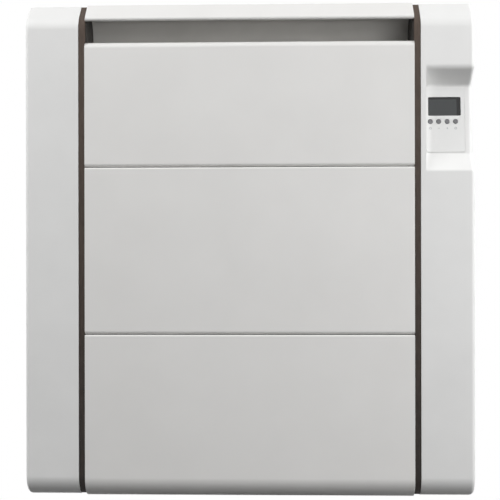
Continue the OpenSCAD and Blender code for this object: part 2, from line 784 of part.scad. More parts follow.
// Leads from the rods to the power board
function lane(k) = lane_y + k * lane_pitch;
lead_x = rod_tip_x + rod_pin + 4;
module rod_lead(place, k, end_z) {
    z = place[1];
    wire([[rod_tip_x + rod_pin, rod_y, z], [lead_x, rod_y, z],
        [lead_x, lane(k), z + sign(end_z - z) * 6], [lead_x, lane(k), end_z]], wire_r, 2.4, [0.3, 0.9, 0.2]);
}
module heater_wiring() {
    p = rod_places();
    color("red") {
        for (k = [0:3]) rod_lead(p[3 - k], k, terminal_top);
        for (k = [0:1]) rod_lead(p[4 + k], k, terminal_low);
    }
}

// Power board, with its parts on the outer face
board_x = power_x + board_t;
terminal_top = power_z[1] - 12;
terminal_low = power_z[0] + 12;
terminal_h = 8;
terminal_d = lead_x + 3 - board_x;
module power_board() {
    color("darkgreen") difference() {
        along_x(power_x, board_x) translate([(power_y[0] + power_y[1]) / 2, (power_z[0] + power_z[1]) / 2])
            plate(power_y[1] - power_y[0], power_z[1] - power_z[0], 2);
        for (y = power_screw_y(), z = power_screw_z())
            translate([0, y, z]) rod_x(power_x - 1, board_x + 1, power_screw_r + gap);
    }
}
power_screw_len = 8;
module power_board_screws() {
    color("silver") for (y = power_screw_y(), z = power_screw_z())
        translate([board_x, y, z]) rotate([0, -90, 0]) screw(power_screw_r, power_screw_len, 2.7, 1.8);
}
module terminal_row(y0, count, pitch, z0, z1) {
    difference() {
        block([board_x, y0 - pitch / 2, z0], [board_x + terminal_d, y0 + (count - 0.5) * pitch, z1]);
        for (k = [0:count - 1])
            translate([board_x + terminal_d - 3, y0 + k * pitch, (z0 + z1) / 2]) rod_x(0, 4, 1.2);
    }
}
module board_terminals() {
    color("seagreen") {
        terminal_row(lane(0), 4, lane_pitch, terminal_top - terminal_h, terminal_top);
        terminal_row(lane(0), 2, lane_pitch, terminal_low, terminal_low + terminal_h);
        terminal_row(mains_y[0], 2, mains_y[1] - mains_y[0], terminal_low, terminal_low + terminal_h);
    }
}
// A part that stands on the board, with its middle at a height and a place along Y, and its own size.
module on_board(y, z, size)
    block([board_x, y - size[1] / 2, z - size[2] / 2], [board_x + size[0], y + size[1] / 2, z + size[2] / 2]);

relay_size = [15.5, 15.5, 20];
module relay() {
    color("black")
        on_board(power_y[0] + 9 + relay_size[1] / 2, power_z[1] - 20 - relay_size[2] / 2, relay_size);
}
transformer_size = [21, 30, 24];
transformer_core_h = 12;
transformer_foot = 3;
transformer_winding = [19, 16, 22];
module transformer() {
    y = power_y[0] + 11 + transformer_size[1] / 2;
    z = power_z[0] + 22 + transformer_size[2] / 2;
    color("gold") {
        on_board(y, z, [transformer_foot, transformer_size[1], transformer_size[2]]);
        on_board(y, z, [transformer_size[0], transformer_size[1] - 2, transformer_core_h]);
        on_board(y, z, transformer_winding);
    }
}
capacitor_size = [12, 15, 24];
module filter_capacitor() {
    color("goldenrod")
        on_board(lane(0) - 6 + capacitor_size[1] / 2, power_z[1] - 26 - capacitor_size[2] / 2,
            capacitor_size);
}

// Fascia in the pocket
hook_t = 1.4;
hook_reach = 1.1;
hook_len = 4;
hook_half = 4;
// A snap hook on the edge at distance edge, with its length along the edge.
module snap_hook(edge) {
    back = fascia_t - fascia_proud;
    linear_extrude(2 * hook_half, center = true) polygon([
        [edge - hook_t, back - 0.4], [edge, back - 0.4], [edge, cap_wall + 0.2],
        [edge + hook_reach, cap_wall + 0.6], [edge, cap_wall + hook_len], [edge - hook_t, cap_wall + hook_len]
    ]);
}
module control_fascia() {
    back = fascia_t - fascia_proud;
    u = fascia_w / 2 - ledge - gap;
    v = fascia_h / 2 - ledge - gap;
    color("white") on_floor() difference() {
        union() {
            along_y(-fascia_proud, back) plate(fascia_w, fascia_h, fascia_r);
            for (x = [-1, 1] * post_u, z = post_v) translate([x, 0, z]) rod_y(back - 0.4, board_y, post_r);
            both_sides() translate([0, 0, -18]) snap_hook(u);
            for (s = [0, 1]) mirror([0, 0, s]) rotate([0, -90, 0]) snap_hook(v);
        }
        translate([display_u, 0, display_v]) along_y(-2, 4) plate(display_w + 0.2, display_h + 0.2, 1.2);
        for (i = [0:3]) translate([button_at(i), 0, button_v]) rod_y(-2, 4, button_r + 0.3);
        for (x = [-1, 1] * post_u, z = post_v)
            translate([x, 0, z]) rod_y(back + 1, board_y + 1, board_screw_r + thread_gap);
    }
}
function button_at(i) = button_u + (i - 1.5) * button_pitch;

module display_lens() {
    back = fascia_t - fascia_proud;
    color("#444a4c") on_floor() translate([display_u, 0, display_v]) {
        along_y(-fascia_proud + 0.2, back) plate(display_w, display_h, 1.1);
        along_y(back, back + 0.8) plate(display_w + 2 * lens_flange, display_h + 2 * lens_flange, 1.1);
    }
}
holder_wall = 1.4;                      // with the clearance round the panel
holder_front = fascia_t - fascia_proud + 0.8 + gap;
panel_w = display_w - 1;
panel_h = display_h - 1;
panel_d = 2.2;
module display_panel() {
    color("darkslategray") on_floor() translate([display_u, 0, display_v])
        along_y(holder_front + 0.2, holder_front + 0.2 + panel_d) square([panel_w, panel_h], center = true);
}
module backlight_holder() {
    color("whitesmoke") on_floor() translate([display_u, 0, display_v]) difference() {
        along_y(holder_front, board_y) plate(panel_w + 2 * holder_wall, panel_h + 2 * holder_wall, 1);
        along_y(holder_front - 1, holder_front + 0.2 + panel_d)
            square([panel_w + 0.4, panel_h + 0.4], center = true);
    }
}

// Buttons: a cap, a collar that keeps it behind the fascia, and a stem that reaches for its switch
collar_t = 1;
stem_r = 1.6;
switch_knob = 0.8;
switch_tall = 3.5;
knob_y = board_y - switch_tall - switch_knob;
module button(i) {
    collar_y = fascia_t - fascia_proud + gap;
    color("gray") on_floor() translate([button_at(i), 0, button_v]) {
        rod_y(-fascia_proud - button_proud + 0.4, collar_y + 0.2, button_r);
        rod_y(-fascia_proud - button_proud, 0, button_r - 0.4);
        rod_y(collar_y, collar_y + collar_t, collar_r);
        rod_y(collar_y + collar_t - 0.2, knob_y - button_travel - 0.1, stem_r);
    }
}
module button_power() button(0);
module button_minus() button(1);
module button_plus() button(2);
module button_mode() button(3);

board_half_u = 1.5 * button_pitch - button_u + 3.8;
board_half_v = post_v[0] + post_r;
module control_board() {
    color("darkgreen") on_floor() difference() {
        along_y(board_y, board_y + board_t) plate(2 * board_half_u, 2 * board_half_v, 1.5);
        for (x = [-1, 1] * post_u, z = post_v)
            translate([x, 0, z]) rod_y(board_y - 1, board_y + board_t + 1, board_screw_r + gap);
    }
}
module control_board_screws() {
    color("silver") on_floor() for (x = [-1, 1] * post_u, z = post_v)
        translate([x, board_y + board_t, z]) rotate([90, 0, 0]) screw(board_screw_r, 6, 2, 1.4);
}
module tact_switches() {
    color("dimgray") on_floor() for (i = [0:3]) translate([button_at(i), 0, button_v]) {
        block([-3, board_y - switch_tall, -3], [3, board_y, 3]);
        rod_y(knob_y, board_y - switch_tall + 0.2, 1.7);
    }
}

// Flat lead from the control board to the power board
ribbon_w = 12;
ribbon_t = 1;
plug_d = 5;
plug_h = 8;
plug_z = -22;
ribbon_x = floor_x + 2;
module control_lead() {
    y0 = floor_low[0] + board_y + board_t;
    z0 = floor_low[1] + 14;
    z1 = power_z[1] - 16;
    left = ribbon_x - floor_x - 1;
    color("gray") {
        along_x(ribbon_x, ribbon_x + ribbon_w)
            bent([[y0 + 4, z0], [y0 + 9, z0], [y0 + 9, z1], [y0 - 4, z1]], [0, 2.4, 2.4, 0], ribbon_t);
        on_floor() block([left, board_y + board_t, plug_z - plug_h],
            [left + ribbon_w + 2, board_y + board_t + plug_d, plug_z]);
        block([board_x, y0 - 12, z1 - 3], [ribbon_x + ribbon_w + 1, y0 - 3.9, z1 + 4]);
    }
}

// Mains side: inlet, terminal block, switch and leads
mains_y = [power_y[0] + 8, power_y[0] + 16];
inlet_bore_r = 4;
module cable_inlet() {
    color("dimgray") translate([inlet_x, 0, inlet_z]) difference() {
        union() {
            rod_y(back_y - cap_wall - 3.5, back_y + 3.5, inlet_hole_r - 0.1);
            rod_y(back_y - cap_wall - 3.5, back_y - cap_wall, inlet_hole_r + 2);
            rod_y(back_y, back_y + 3.5, inlet_hole_r + 2);
        }
        rod_y(back_y - cap_wall - 5, back_y + 5, inlet_bore_r);
    }
}

block_pole = 9.4;
block_w = 16;
block_h = 20;
block_top = switch_z - switch_h / 2 - 8;
block_low = block_top - block_h;
block_room = 1.8;                       // between the terminal block and the lug behind it
block_y = lug_y - lug_t - block_room - 3 * block_pole;
module mains_terminal_block() {
    color("ivory") difference() {
        union() for (k = [0:2]) {
            y = block_y + k * block_pole;
            block([frame_in_x, y, block_low], [frame_in_x + block_w - 4, y + block_pole, block_top]);
            block([frame_in_x, y + 1, block_low + 4],
                [frame_in_x + block_w, y + block_pole - 1, block_top - 4]);
        }
        for (k = [0:2], z = [block_low + 7, block_top - 7])
            translate([0, block_y + (k + 0.5) * block_pole, z])
                rod_x(frame_in_x + block_w - 5, frame_in_x + block_w + 1, 2.2);
    }
}

switch_back_x = out_x - well_d - switch_depth;
module switch_housing() {
    color("black") difference() {
        union() {
            translate([out_x - well_d, switch_y, switch_z]) rotate([90, 0, 90])
                linear_extrude(switch_bezel_t) plate(switch_w + 4, switch_h + 4, 1.5);
            block([switch_back_x, switch_y - switch_w / 2, switch_z - switch_h / 2],
                [out_x - well_d + 1, switch_y + switch_w / 2, switch_z + switch_h / 2]);
        }
        block([pivot_x - 9, switch_y - rocker_w / 2 - rocker_gap, switch_z - rocker_half - 2 * rocker_gap],
            [out_x, switch_y + rocker_w / 2 + rocker_gap, switch_z + rocker_half + 2 * rocker_gap]);
        translate([pivot_x, 0, switch_z])
            rod_y(switch_y - switch_w / 2 + 1, switch_y + switch_w / 2 - 1, pivot_r + 0.1);
    }
}
module switch_rocker() {
    color("red") translate([pivot_x, switch_y, switch_z]) rotate([0, rocker_swing, 0]) {
        along_y(-rocker_w / 2, rocker_w / 2) polygon([
            for (a = [-18:4:18]) [rocker_dish_x - rocker_dish_r * cos(a), rocker_dish_r * sin(a)],
            [2.5, rocker_half - 0.5], [-3, 3], [-3, -3], [2.5, -rocker_half + 0.5]
        ]);
        rod_y(-switch_w / 2 + 1.3, switch_w / 2 - 1.3, pivot_r);
    }
}
rocker_dish_r = 34;
rocker_dish_x = rocker_dish_r + 4.2;
tab_len = 8;
function tab_z() = [switch_z - 9, switch_z + 9];
function tab_y() = [switch_y - 4.5, switch_y + 4.5];
module switch_terminals() {
    color("gold") for (y = tab_y(), z = tab_z())
        block([switch_back_x - tab_len, y - 0.4, z - 3.2], [switch_back_x, y + 0.4, z + 3.2]);
}

tab_x = switch_back_x - tab_len;
module mains_wiring() {
    block_x = cap_x + wire_r + 0.5;
    block_end_x = board_x + terminal_d - 4;
    color("sienna") {
        for (k = [0, 1]) {
            y = tab_y()[k];
            pole_y = block_y + (k + 0.5) * block_pole;
            wire([[block_x, pole_y, block_top], [block_x, pole_y, block_top + 5],
                [block_x, y, tab_z()[0]], [tab_x, y, tab_z()[0]]], wire_r, 2, [0.2, 0.9, 0.3]);
            wire([[tab_x, y, tab_z()[1]], [tab_x - 4, y, tab_z()[1]],
                [tab_x - 4, mains_y[k], terminal_low - 24], [block_end_x, mains_y[k], terminal_low - 6],
                [block_end_x, mains_y[k], terminal_low]], wire_r, 2, [0.2, 0.9, 0.3]);
        }
    }
}

// Room temperature probe, in a clip on the end frame near the intake
probe_y = front_y + 17;
probe_r = 2.5;
probe_len = 30;
probe_drop = 16;
sensor_up = 40;
module room_sensor() {
    z = bottom_z + sensor_up;
    color("ivory") {
        block([frame_in_x, probe_y - 5, z - 6], [frame_in_x + 6, probe_y + 5, z + 6]);
        translate([frame_in_x + 6, probe_y, z - probe_drop]) {
            cylinder(r = probe_r, h = probe_len);
            sphere(r = probe_r);
        }
    }
}

// Wall bracket with two pairs of hooks
hook_front_y = rail_y - plate_t - gap;
strap_slot = [46, 14];
bar_slot = [40, 16];
module wall_bracket() {
    flange = 9;
    cross_z = wall_screw_z / 2 - 45;
    bar_x = wall_screw_x / 2 + strap_w / 2 - 6;
    color("gainsboro") difference() {
        union() {
            for (s = [-1, 1])
                translate([s * wall_screw_x / 2, 0, -bracket_h / 2]) linear_extrude(bracket_h) bent(
                    [[strap_w / 2, -flange], [strap_w / 2, 0], [-strap_w / 2, 0], [-strap_w / 2, -flange]],
                    [0, 2.6, 2.6, 0], bracket_t);
            for (z = [-1, 1] * cross_z)
                block([-bar_x, -bracket_t, z - bar_h / 2], [bar_x, 0, z + bar_h / 2]);
            for (s = [-1, 1]) {
                along_x(s * wall_screw_x / 2 - hook_w / 2, s * wall_screw_x / 2 + hook_w / 2) bent(
                    [[-bracket_t + 0.5, hook_z], [hook_front_y, hook_z], [hook_front_y, hook_z + hook_rise]],
                    [0, 0.4, 0], bracket_t);
                block([s * wall_screw_x / 2 - hook_w / 2, hook_front_y - bracket_t, -hook_z - bracket_t / 2],
                    [s * wall_screw_x / 2 + hook_w / 2, -bracket_t + 0.5, -hook_z + bracket_t / 2]);
            }
        }
        for (x = [-1, 1] * wall_screw_x / 2, z = [-1, 1] * wall_screw_z / 2)
            translate([x, 0, z]) rod_y(-bracket_t - 1, 1, wall_hole_dia / 2);
        for (x = [-1, 1] * wall_screw_x / 2, z = [-0.5, 0.5])
            translate([x, 1, z * 80]) rotate([90, 0, 0]) linear_extrude(bracket_t + 2)
                rotate(90) slot_2d(strap_slot[0], strap_slot[1]);
        for (x = [-60, 0, 60], z = [-1, 1] * cross_z)
            translate([x, 1, z]) rotate([90, 0, 0])
                linear_extrude(bracket_t + 2) slot_2d(bar_slot[0], bar_slot[1]);
    }
}
buffer_r = 9;
buffer_tip_r = 7;
buffer_tip = 2;
buffer_up = 26;
module wall_buffers() {
    color("dimgray") both_sides() translate([wall_screw_x / 2, 0, bottom_z + buffer_up]) {
        rod_y(back_y, -buffer_tip, buffer_r);
        rod_y(-buffer_tip - 0.4, 0, buffer_tip_r);
    }
}
module cap_screws() {
    color("silver") both_sides() for (z = [-1, 1] * cap_screw_z)
        translate([cap_screw_x, back_y, z]) rotate([90, 0, 0]) screw(cap_screw_r, back_y - lug_y + lug_t + 2);
}

upper_front_panel();
middle_front_panel();
lower_front_panel();
top_rail();
outlet_deflector();
outlet_guard();
intake_grille();
rear_cover();
left_side_plate();
right_side_plate();
left_end_frame();
right_end_frame();
upper_cross_rail();
lower_cross_rail();
heat_shield();
left_end_cap();
right_end_cap();
upper_heater_core();
middle_heater_core();
lower_heater_core();
upper_heating_rod();
middle_heating_rod();
lower_heating_rod();
rod_bushes();
thermal_cutout();
heater_wiring();
mains_wiring();
control_lead();
control_fascia();
display_lens();
display_panel();
backlight_holder();
button_power();
button_minus();
button_plus();
button_mode();
control_board();
tact_switches();
control_board_screws();
power_board();
relay();
transformer();
filter_capacitor();
board_terminals();
mains_terminal_block();
room_sensor();
switch_housing();
switch_terminals();
switch_rocker();
cable_inlet();
wall_bracket();
wall_buffers();
cap_screws();
cover_screws();
core_screws();
power_board_screws();
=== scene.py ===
"""Looks of a wall-hung electric radiator: painted front, moulded end caps, controls and inner parts."""
import json
import math

import bmesh
import bpy
from bpy.props import FloatProperty, PointerProperty, StringProperty
from mathutils import Matrix, Vector


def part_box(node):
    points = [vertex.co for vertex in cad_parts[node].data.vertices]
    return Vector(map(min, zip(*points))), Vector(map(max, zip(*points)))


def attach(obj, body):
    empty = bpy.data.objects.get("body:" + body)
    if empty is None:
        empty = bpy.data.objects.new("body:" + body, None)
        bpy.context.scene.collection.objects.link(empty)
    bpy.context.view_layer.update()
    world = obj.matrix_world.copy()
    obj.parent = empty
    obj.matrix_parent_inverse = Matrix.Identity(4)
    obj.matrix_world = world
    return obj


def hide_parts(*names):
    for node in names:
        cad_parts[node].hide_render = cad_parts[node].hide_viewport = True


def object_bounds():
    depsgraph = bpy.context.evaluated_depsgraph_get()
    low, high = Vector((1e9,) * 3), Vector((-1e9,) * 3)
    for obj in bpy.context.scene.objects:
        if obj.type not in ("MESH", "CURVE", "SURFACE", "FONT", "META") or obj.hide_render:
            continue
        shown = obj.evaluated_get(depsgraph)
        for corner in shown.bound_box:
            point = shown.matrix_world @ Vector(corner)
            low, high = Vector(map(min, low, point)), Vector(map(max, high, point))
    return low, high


bl_info = {
    "name": "Electric radiator finish",
    "version": (1, 0, 0),
    "blender": (4, 5, 0),
    "location": "3D View > Sidebar > Radiator",
    "description": "Finishes the pieces of a wall-hung electric radiator and sets its stage",
    "category": "Object",
}

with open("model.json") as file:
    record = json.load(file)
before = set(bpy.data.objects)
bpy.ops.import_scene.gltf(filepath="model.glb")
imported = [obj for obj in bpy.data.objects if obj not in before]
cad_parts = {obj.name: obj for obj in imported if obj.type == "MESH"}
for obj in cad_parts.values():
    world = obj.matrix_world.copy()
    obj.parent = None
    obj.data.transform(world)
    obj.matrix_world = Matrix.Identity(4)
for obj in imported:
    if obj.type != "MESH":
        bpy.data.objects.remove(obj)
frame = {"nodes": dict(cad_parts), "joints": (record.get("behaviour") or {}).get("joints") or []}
cad_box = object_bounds()

MM = 0.001
UP, DOWN, BACK = (0, 1), (0, -1), (1, 0)
BODY = "radiator"

# Front panels: whether there is a joint below and above each
PANELS = (
    ("upper_front_panel", True, False),
    ("middle_front_panel", True, True),
    ("lower_front_panel", False, True),
)

# Sizes of the solids, in mm, where the finish follows their outline
CAD_FOOT = 20.0
CAD_SLOPE = 13.0
CAD_SHEET_EDGE = 2.0
CAD_SLOT_EDGE = 5.0
CAD_POCKET_EDGE = 3.0
CAD_POCKET_CORNER = 2.5
SLOPE_DEPTH, SLOPE_HEIGHT = 22.0, 22.5
POCKET_TOP = 210.0
OVERHANG_DEPTH, OVERHANG_HEIGHT = 22.0, 18.0
POCKET_RISE, POCKET_HEIGHT = 7.0, 80.5

# How far the points of a bend lie from its outside radius at most, in mm
BODY_REACH = 6.0         # the sheet or the wall, and the lip behind it
SHEET_REACH = 1.9        # sheet of 1.6 mm, with some to spare
POCKET_REACH = 2.9       # the caps' wall of 2.6 mm, with some to spare
JOINT_REACH = 6.0        # how far a panel's edge at a joint goes back into the panel, in mm

# Tolerances, and limits on the angle between two faces
MERGE = 2e-6                         # m at most between points of a CAD node that are one
BEND_SLACK = 2e-6                    # m by which a point on a bend's border may miss it
FLAT_ANGLE = math.radians(0.5)       # faces that meet at less are one flat face
EDGE_ANGLE = math.radians(32)        # edges sharper than this are eased
SCREW_ANGLE = math.radians(38)       # edges of a screw sharper than this stay hard

# Both whites mirror a little less than their IOR alone gives
SATIN = {"Specular IOR Level": 0.38}
NOISE_LOW, NOISE_HIGH = 0.3, 0.7     # the noise pattern seldom leaves this range
LENS_FADE = 0.6                      # mm over which the lens's printed border fades out

# Screws, in shares of the head's or the shank's size where no unit is given
SCREW_SIDES = 20
RIM_HEIGHT = 0.45
CROWN_ANGLES = (0, 20, 45, 70)       # degrees
THREAD_PITCH = 1.0                   # mm
THREAD_TURNS = 3                     # at least
THREAD_ROOT = 0.82
THREAD_RISE = 0.25                   # of the pitch, from a crest up to the root above it
TIP_RADIUS, TIP_HEIGHT = 0.3, 0.2    # the height in mm
CROSS_REACH, CROSS_WIDTH, CROSS_DEPTH, CROSS_TAPER = 0.58, 0.22, 0.75, 0.35
CROSS_PROUD = 0.3                    # mm by which the cutter stands above the head
SPIN = 37                            # degrees from one screw's cross to the next

# Stage
SENSOR = 36.0                        # mm
CLIP_END = 50.0                      # m
FLOOR_SIZE = 12.0                    # m from its middle to its edges
FADE_START, FADE_END = 0.12, 0.45    # m from the middle, where the floor turns from paint to plain white
LIGHTS = {                           # degrees to the right and above the horizon, distance and size in m
    "key": ((50, 26), 1.6, (0.9, 0.7)),
    "fill": ((-50, 44), 2.0, (1.2, 1.0)),
    "low": ((30, -3), 2.6, (1.8, 0.42)),
    "left_edge": ((-84, 20), 2.0, (1.2, 1.6)),
    "right_edge": ((84, 20), 2.0, (1.2, 1.6)),
}


# Geometry helpers

def linked(name, data):
    """A new object with its data, in the scene."""
    thing = bpy.data.objects.new(name, data)
    bpy.context.scene.collection.objects.link(thing)
    return thing


def piece_from(bm, name):
    """A new object from a finished bmesh."""
    mesh = bpy.data.meshes.new(name)
    bm.to_mesh(mesh)
    bm.free()
    return linked(name, mesh)


def welded(node):
    """A CAD node's loose triangles as one closed bmesh."""
    bm = bmesh.new()
    bm.from_mesh(frame["nodes"][node].data)
    bmesh.ops.remove_doubles(bm, verts=bm.verts, dist=MERGE)
    return bm


def applied(piece):
    """The piece with its modifiers turned into plain mesh."""
    graph = bpy.context.evaluated_depsgraph_get()
    graph.update()
    evaluated = piece.evaluated_get(graph)
    mesh = bpy.data.meshes.new_from_object(evaluated, preserve_all_data_layers=True, depsgraph=graph)
    mesh.name = piece.name
    piece.modifiers.clear()
    piece.data = mesh
    return piece


def placed(piece, body, material, node=None):
    """Gives a finished piece its material and its body, and hides the node that it stands for."""
    piece.data.materials.clear()
    piece.data.materials.append(material)
    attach(piece, body)
    if node:
        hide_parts(node)


def softer_bend(bm, corner, legs, old, new, reach):
    """Gives a bend of the side outline (Y, Z) a larger radius, in mm, and moves its arc to fit.

    The corner is where the two legs would meet, and the legs point away from it. Points further than reach
    from the outside radius aren't part of the bend.
    """
    first, second = (Vector(leg).normalized() for leg in legs)
    inward = (first + second).normalized()
    half_sine = math.sin(first.angle(second) / 2)
    before, after = (Vector(corner) + inward * (radius * MM / half_sine) for radius in (old, new))
    for vert in bm.verts:
        arm = vert.co.yz - before
        if arm @ first < BEND_SLACK and arm @ second < BEND_SLACK and abs(arm.length - old * MM) < reach * MM:
            vert.co.yz = after + arm.normalized() * (arm.length + (new - old) * MM)


def dress(node, material, edge, body=BODY, segments=2, reshape=None):
    """Replaces a node by a copy with its edges eased by so many mm, after reshape has changed its bends."""
    bm = welded(node)
    bmesh.ops.dissolve_limit(bm, angle_limit=FLAT_ANGLE, verts=bm.verts, edges=bm.edges)
    if reshape:
        reshape(bm)
    piece = piece_from(bm, node + "_shell")
    piece.data.shade_smooth()
    bevel = piece.modifiers.new("edges", "BEVEL")
    bevel.width = edge * MM
    bevel.segments = segments
    bevel.limit_method = "ANGLE"
    bevel.angle_limit = EDGE_ANGLE
    bevel.miter_outer = "MITER_ARC"
    normals = piece.modifiers.new("normals", "WEIGHTED_NORMAL")
    normals.keep_sharp = False
    placed(applied(piece), body, material, node)


def finish(material, *nodes):
    """Gives CAD nodes whose shape stays as it is their material."""
    for node in nodes:
        data = frame["nodes"][node].data
        data.materials.clear()
        data.materials.append(material)


def islands(node):
    """The points of each separate solid of a node, in its mesh's order, which is the same in every run."""
    bm = welded(node)
    found = []
    known = set()
    for start in bm.verts:
        if start in known:
            continue
        known.add(start)
        todo = [start]
        part = []
        while todo:
            vert = todo.pop()
            part.append(vert.co.copy())
            fresh = [e.other_vert(vert) for e in vert.link_edges if e.other_vert(vert) not in known]
            known.update(fresh)
            todo += fresh
        found.append(part)
    bm.free()
    return found


def solid_from_loops(bm, loops, depth):
    """Adds a flat shape for each loop of XZ points, thickened from Y = 0 towards -Y."""
    for loop in loops:
        front = [bm.verts.new((x, -depth, z)) for x, z in loop]
        back = [bm.verts.new((x, 0, z)) for x, z in loop]
        bm.faces.new(front)
        bm.faces.new(back[::-1])
        for i in range(len(loop)):
            j = (i + 1) % len(loop)
            bm.faces.new((front[j], front[i], back[i], back[j]))


def bar(x, z, width, height):
    """The corners of an upright rectangle, centred on a point."""
    return [(x + u * width / 2, z + v * height / 2) for u, v in ((-1, -1), (1, -1), (1, 1), (-1, 1))]


def arc_band(x, z, radius, width, start, end, steps=18):
    """Short four-sided pieces along an arc from start to end, in degrees, as one list of loops."""
    inner, outer = radius - width / 2, radius + width / 2
    loops = []
    for i in range(steps):
        a, b = (math.radians(start + (end - start) * k / steps) for k in (i, i + 1))
        corners = ((inner, a), (outer, a), (outer, b), (inner, b))
        loops.append([(x + r * math.cos(t), z + r * math.sin(t)) for r, t in corners])
    return loops


def press_axis():
    """The way into the fascia, square to its face, in which the buttons travel."""
    return Vector(next(joint["axis"] for joint in frame["joints"] if joint["name"] == "button_power_press"))


# Node trees

def hex_colour(code):
    """A written sRGB hex colour as the linear RGBA that a node takes."""
    parts = [int(code[i:i + 2], 16) / 255 for i in (1, 3, 5)]
    return [c / 12.92 if c <= 0.04045 else ((c + 0.055) / 1.055) ** 2.4 for c in parts] + [1.0]


def add(tree, kind, inputs=None, **settings):
    """Adds a node, with its settings, and sets or links each of its named inputs."""
    node = tree.nodes.new(kind)
    for name, value in settings.items():
        setattr(node, name, value)
    for key, value in (inputs or {}).items():
        if isinstance(value, bpy.types.NodeSocket):
            tree.links.new(value, node.inputs[key])
        else:
            node.inputs[key].default_value = value
    return node


def new_material(name, **given):
    """A material, with its tree, its Principled shader with the given inputs, and the Object coordinates."""
    material = bpy.data.materials.new(name)
    material.use_nodes = True
    tree = material.node_tree
    tree.nodes.clear()
    shader = add(tree, "ShaderNodeBsdfPrincipled", given)
    add(tree, "ShaderNodeOutputMaterial", {"Surface": shader.outputs["BSDF"]})
    place = add(tree, "ShaderNodeTexCoord").outputs["Object"]
    return material, tree, shader, place


def mottle(tree, place, size, low=0, high=1, detail=3.0):
    """A soft random pattern whose patches are about size millimetres across, from low to high."""
    noise = add(tree, "ShaderNodeTexNoise", {"Vector": place, "Scale": 1 / (size * MM), "Detail": detail})
    spread = add(tree, "ShaderNodeMapRange", {"Value": noise.outputs["Fac"], "From Min": NOISE_LOW,
                                              "From Max": NOISE_HIGH, "To Min": low, "To Max": high})
    return spread.outputs["Result"]


def two_tone(tree, shader, factor, first, second):
    """Colours the surface from first to second, by a factor from 0 to 1."""
    # The mix node's input 0 is its factor and 6 and 7 are its two colours, and its output 2 is their mix.
    inputs = {0: factor, 6: hex_colour(first), 7: hex_colour(second)}
    mix = add(tree, "ShaderNodeMix", inputs, data_type="RGBA")
    tree.links.new(mix.outputs[2], shader.inputs["Base Color"])


def relief(tree, shader, height, depth):
    """Raises the surface by a height pattern, depth in millimetres from its lowest to its highest."""
    bump = add(tree, "ShaderNodeBump", {"Height": height, "Distance": depth * MM, "Strength": 1.0})
    tree.links.new(bump.outputs["Normal"], shader.inputs["Normal"])


def skin(tree, shader, place, rough, grain=None, detail=3.0):
    """Gives a surface its roughness and its grain.

    Rough holds the size of its patches in mm and the lowest and highest roughness. Grain holds its size and
    depth in mm.
    """
    tree.links.new(mottle(tree, place, *rough), shader.inputs["Roughness"])
    if grain:
        size, depth = grain
        relief(tree, shader, mottle(tree, place, size, detail=detail), depth)


def patterned(name, tint, rough, grain=None, detail=3.0, **given):
    """A material in two close colours. Tint holds the size of their patches in mm and both hex colours."""
    material, tree, shader, place = new_material(name, **given)
    size, first, second = tint
    two_tone(tree, shader, mottle(tree, place, size), first, second)
    skin(tree, shader, place, rough, grain, detail)
    return material


# Materials

def powder_coat(paint):
    """Epoxy-polyester powder coat on sheet steel, sprayed and baked: satin white with a faint orange peel."""
    # Orange peel has waves of about 1.5 mm, drawn at 2 mm so that they show.
    low, high = paint.gloss - 0.03, paint.gloss + 0.03
    return patterned("powder_coated_steel", (90, paint.white_low, paint.white_high), (25, low, high),
                     grain=(2.0, 0.012), detail=1.0, IOR=1.5, **SATIN)


def moulded_abs(paint):
    """Injection-moulded ABS with a fine spark-eroded skin: a slightly cooler, softer white than the paint."""
    # The real grain has pits of about 0.3 mm, drawn at 0.7 mm so that they show.
    low, high = paint.gloss + 0.04, paint.gloss + 0.10
    return patterned("moulded_abs", (60, paint.moulded_low, paint.moulded_high), (12, low, high),
                     grain=(0.7, 0.01), detail=2.0, IOR=1.53, **SATIN)


def seam_plastic():
    """Glass-filled PBT of the end frames, moulded dark brown: matt, with upright glass streaks.

    It is drawn lighter towards the top: painted light, as if light from above fell into the seam.
    """
    material, tree, shader, place = new_material("glass_filled_pbt", IOR=1.4)
    drawn_out = add(tree, "ShaderNodeMapping", {"Vector": place, "Scale": (1, 1, 0.15)}).outputs["Vector"]
    streaks = mottle(tree, drawn_out, 2, -0.15, 0.15)
    # Painted light: the colour grows lighter with height, standing in for light from above falling into the
    # seam.
    height = add(tree, "ShaderNodeSeparateXYZ", {"Vector": place}).outputs["Z"]
    ends = {"From Min": cad_box[0][2], "From Max": cad_box[1][2]}
    painted_top_light = add(tree, "ShaderNodeMapRange", {"Value": height, **ends}).outputs["Result"]
    both = add(tree, "ShaderNodeMath", {0: streaks, 1: painted_top_light}, operation="ADD").outputs["Value"]
    two_tone(tree, shader, both, "#1A1411", "#544840")
    skin(tree, shader, place, (4, 0.7, 0.8), grain=(0.8, 0.01))
    return material


def stove_enamel():
    """Heat-resistant grey enamel inside the outlet: matt, baked, slightly browned near the hot air."""
    return patterned("stove_enamel", (40, "#CDCBC7", "#D4D2CE"), (8, 0.5, 0.62),
                     grain=(1.5, 0.01), IOR=1.5)


def painted_shade_coat():
    """Side plates drawn black, matt, with a trace of dust: painted shade, a dark sheet so that the slot's
    shaded ends stay dark.
    """
    return patterned("black_epoxy_coat", (30, "#2F2C2A", "#393633"), (6, 0.55, 0.7),
                     grain=(1.5, 0.01), IOR=1.5)


def galvanised():
    """Hot-dip galvanised sheet: a metal with crystal spangles of about 8 mm, each with its own sheen."""
    material, tree, shader, place = new_material("galvanised_steel", Metallic=1.0)
    cells = add(tree, "ShaderNodeTexVoronoi", {"Vector": place, "Scale": 1 / (8 * MM)})
    level = add(tree, "ShaderNodeSeparateColor", {"Color": cells.outputs["Color"]}).outputs["Red"]
    two_tone(tree, shader, level, "#A9AEB0", "#C6C9C9")
    sheen = add(tree, "ShaderNodeMapRange", {"Value": level, "To Min": 0.36, "To Max": 0.54})
    tree.links.new(sheen.outputs["Result"], shader.inputs["Roughness"])
    relief(tree, shader, mottle(tree, place, 3), 0.01)
    return material


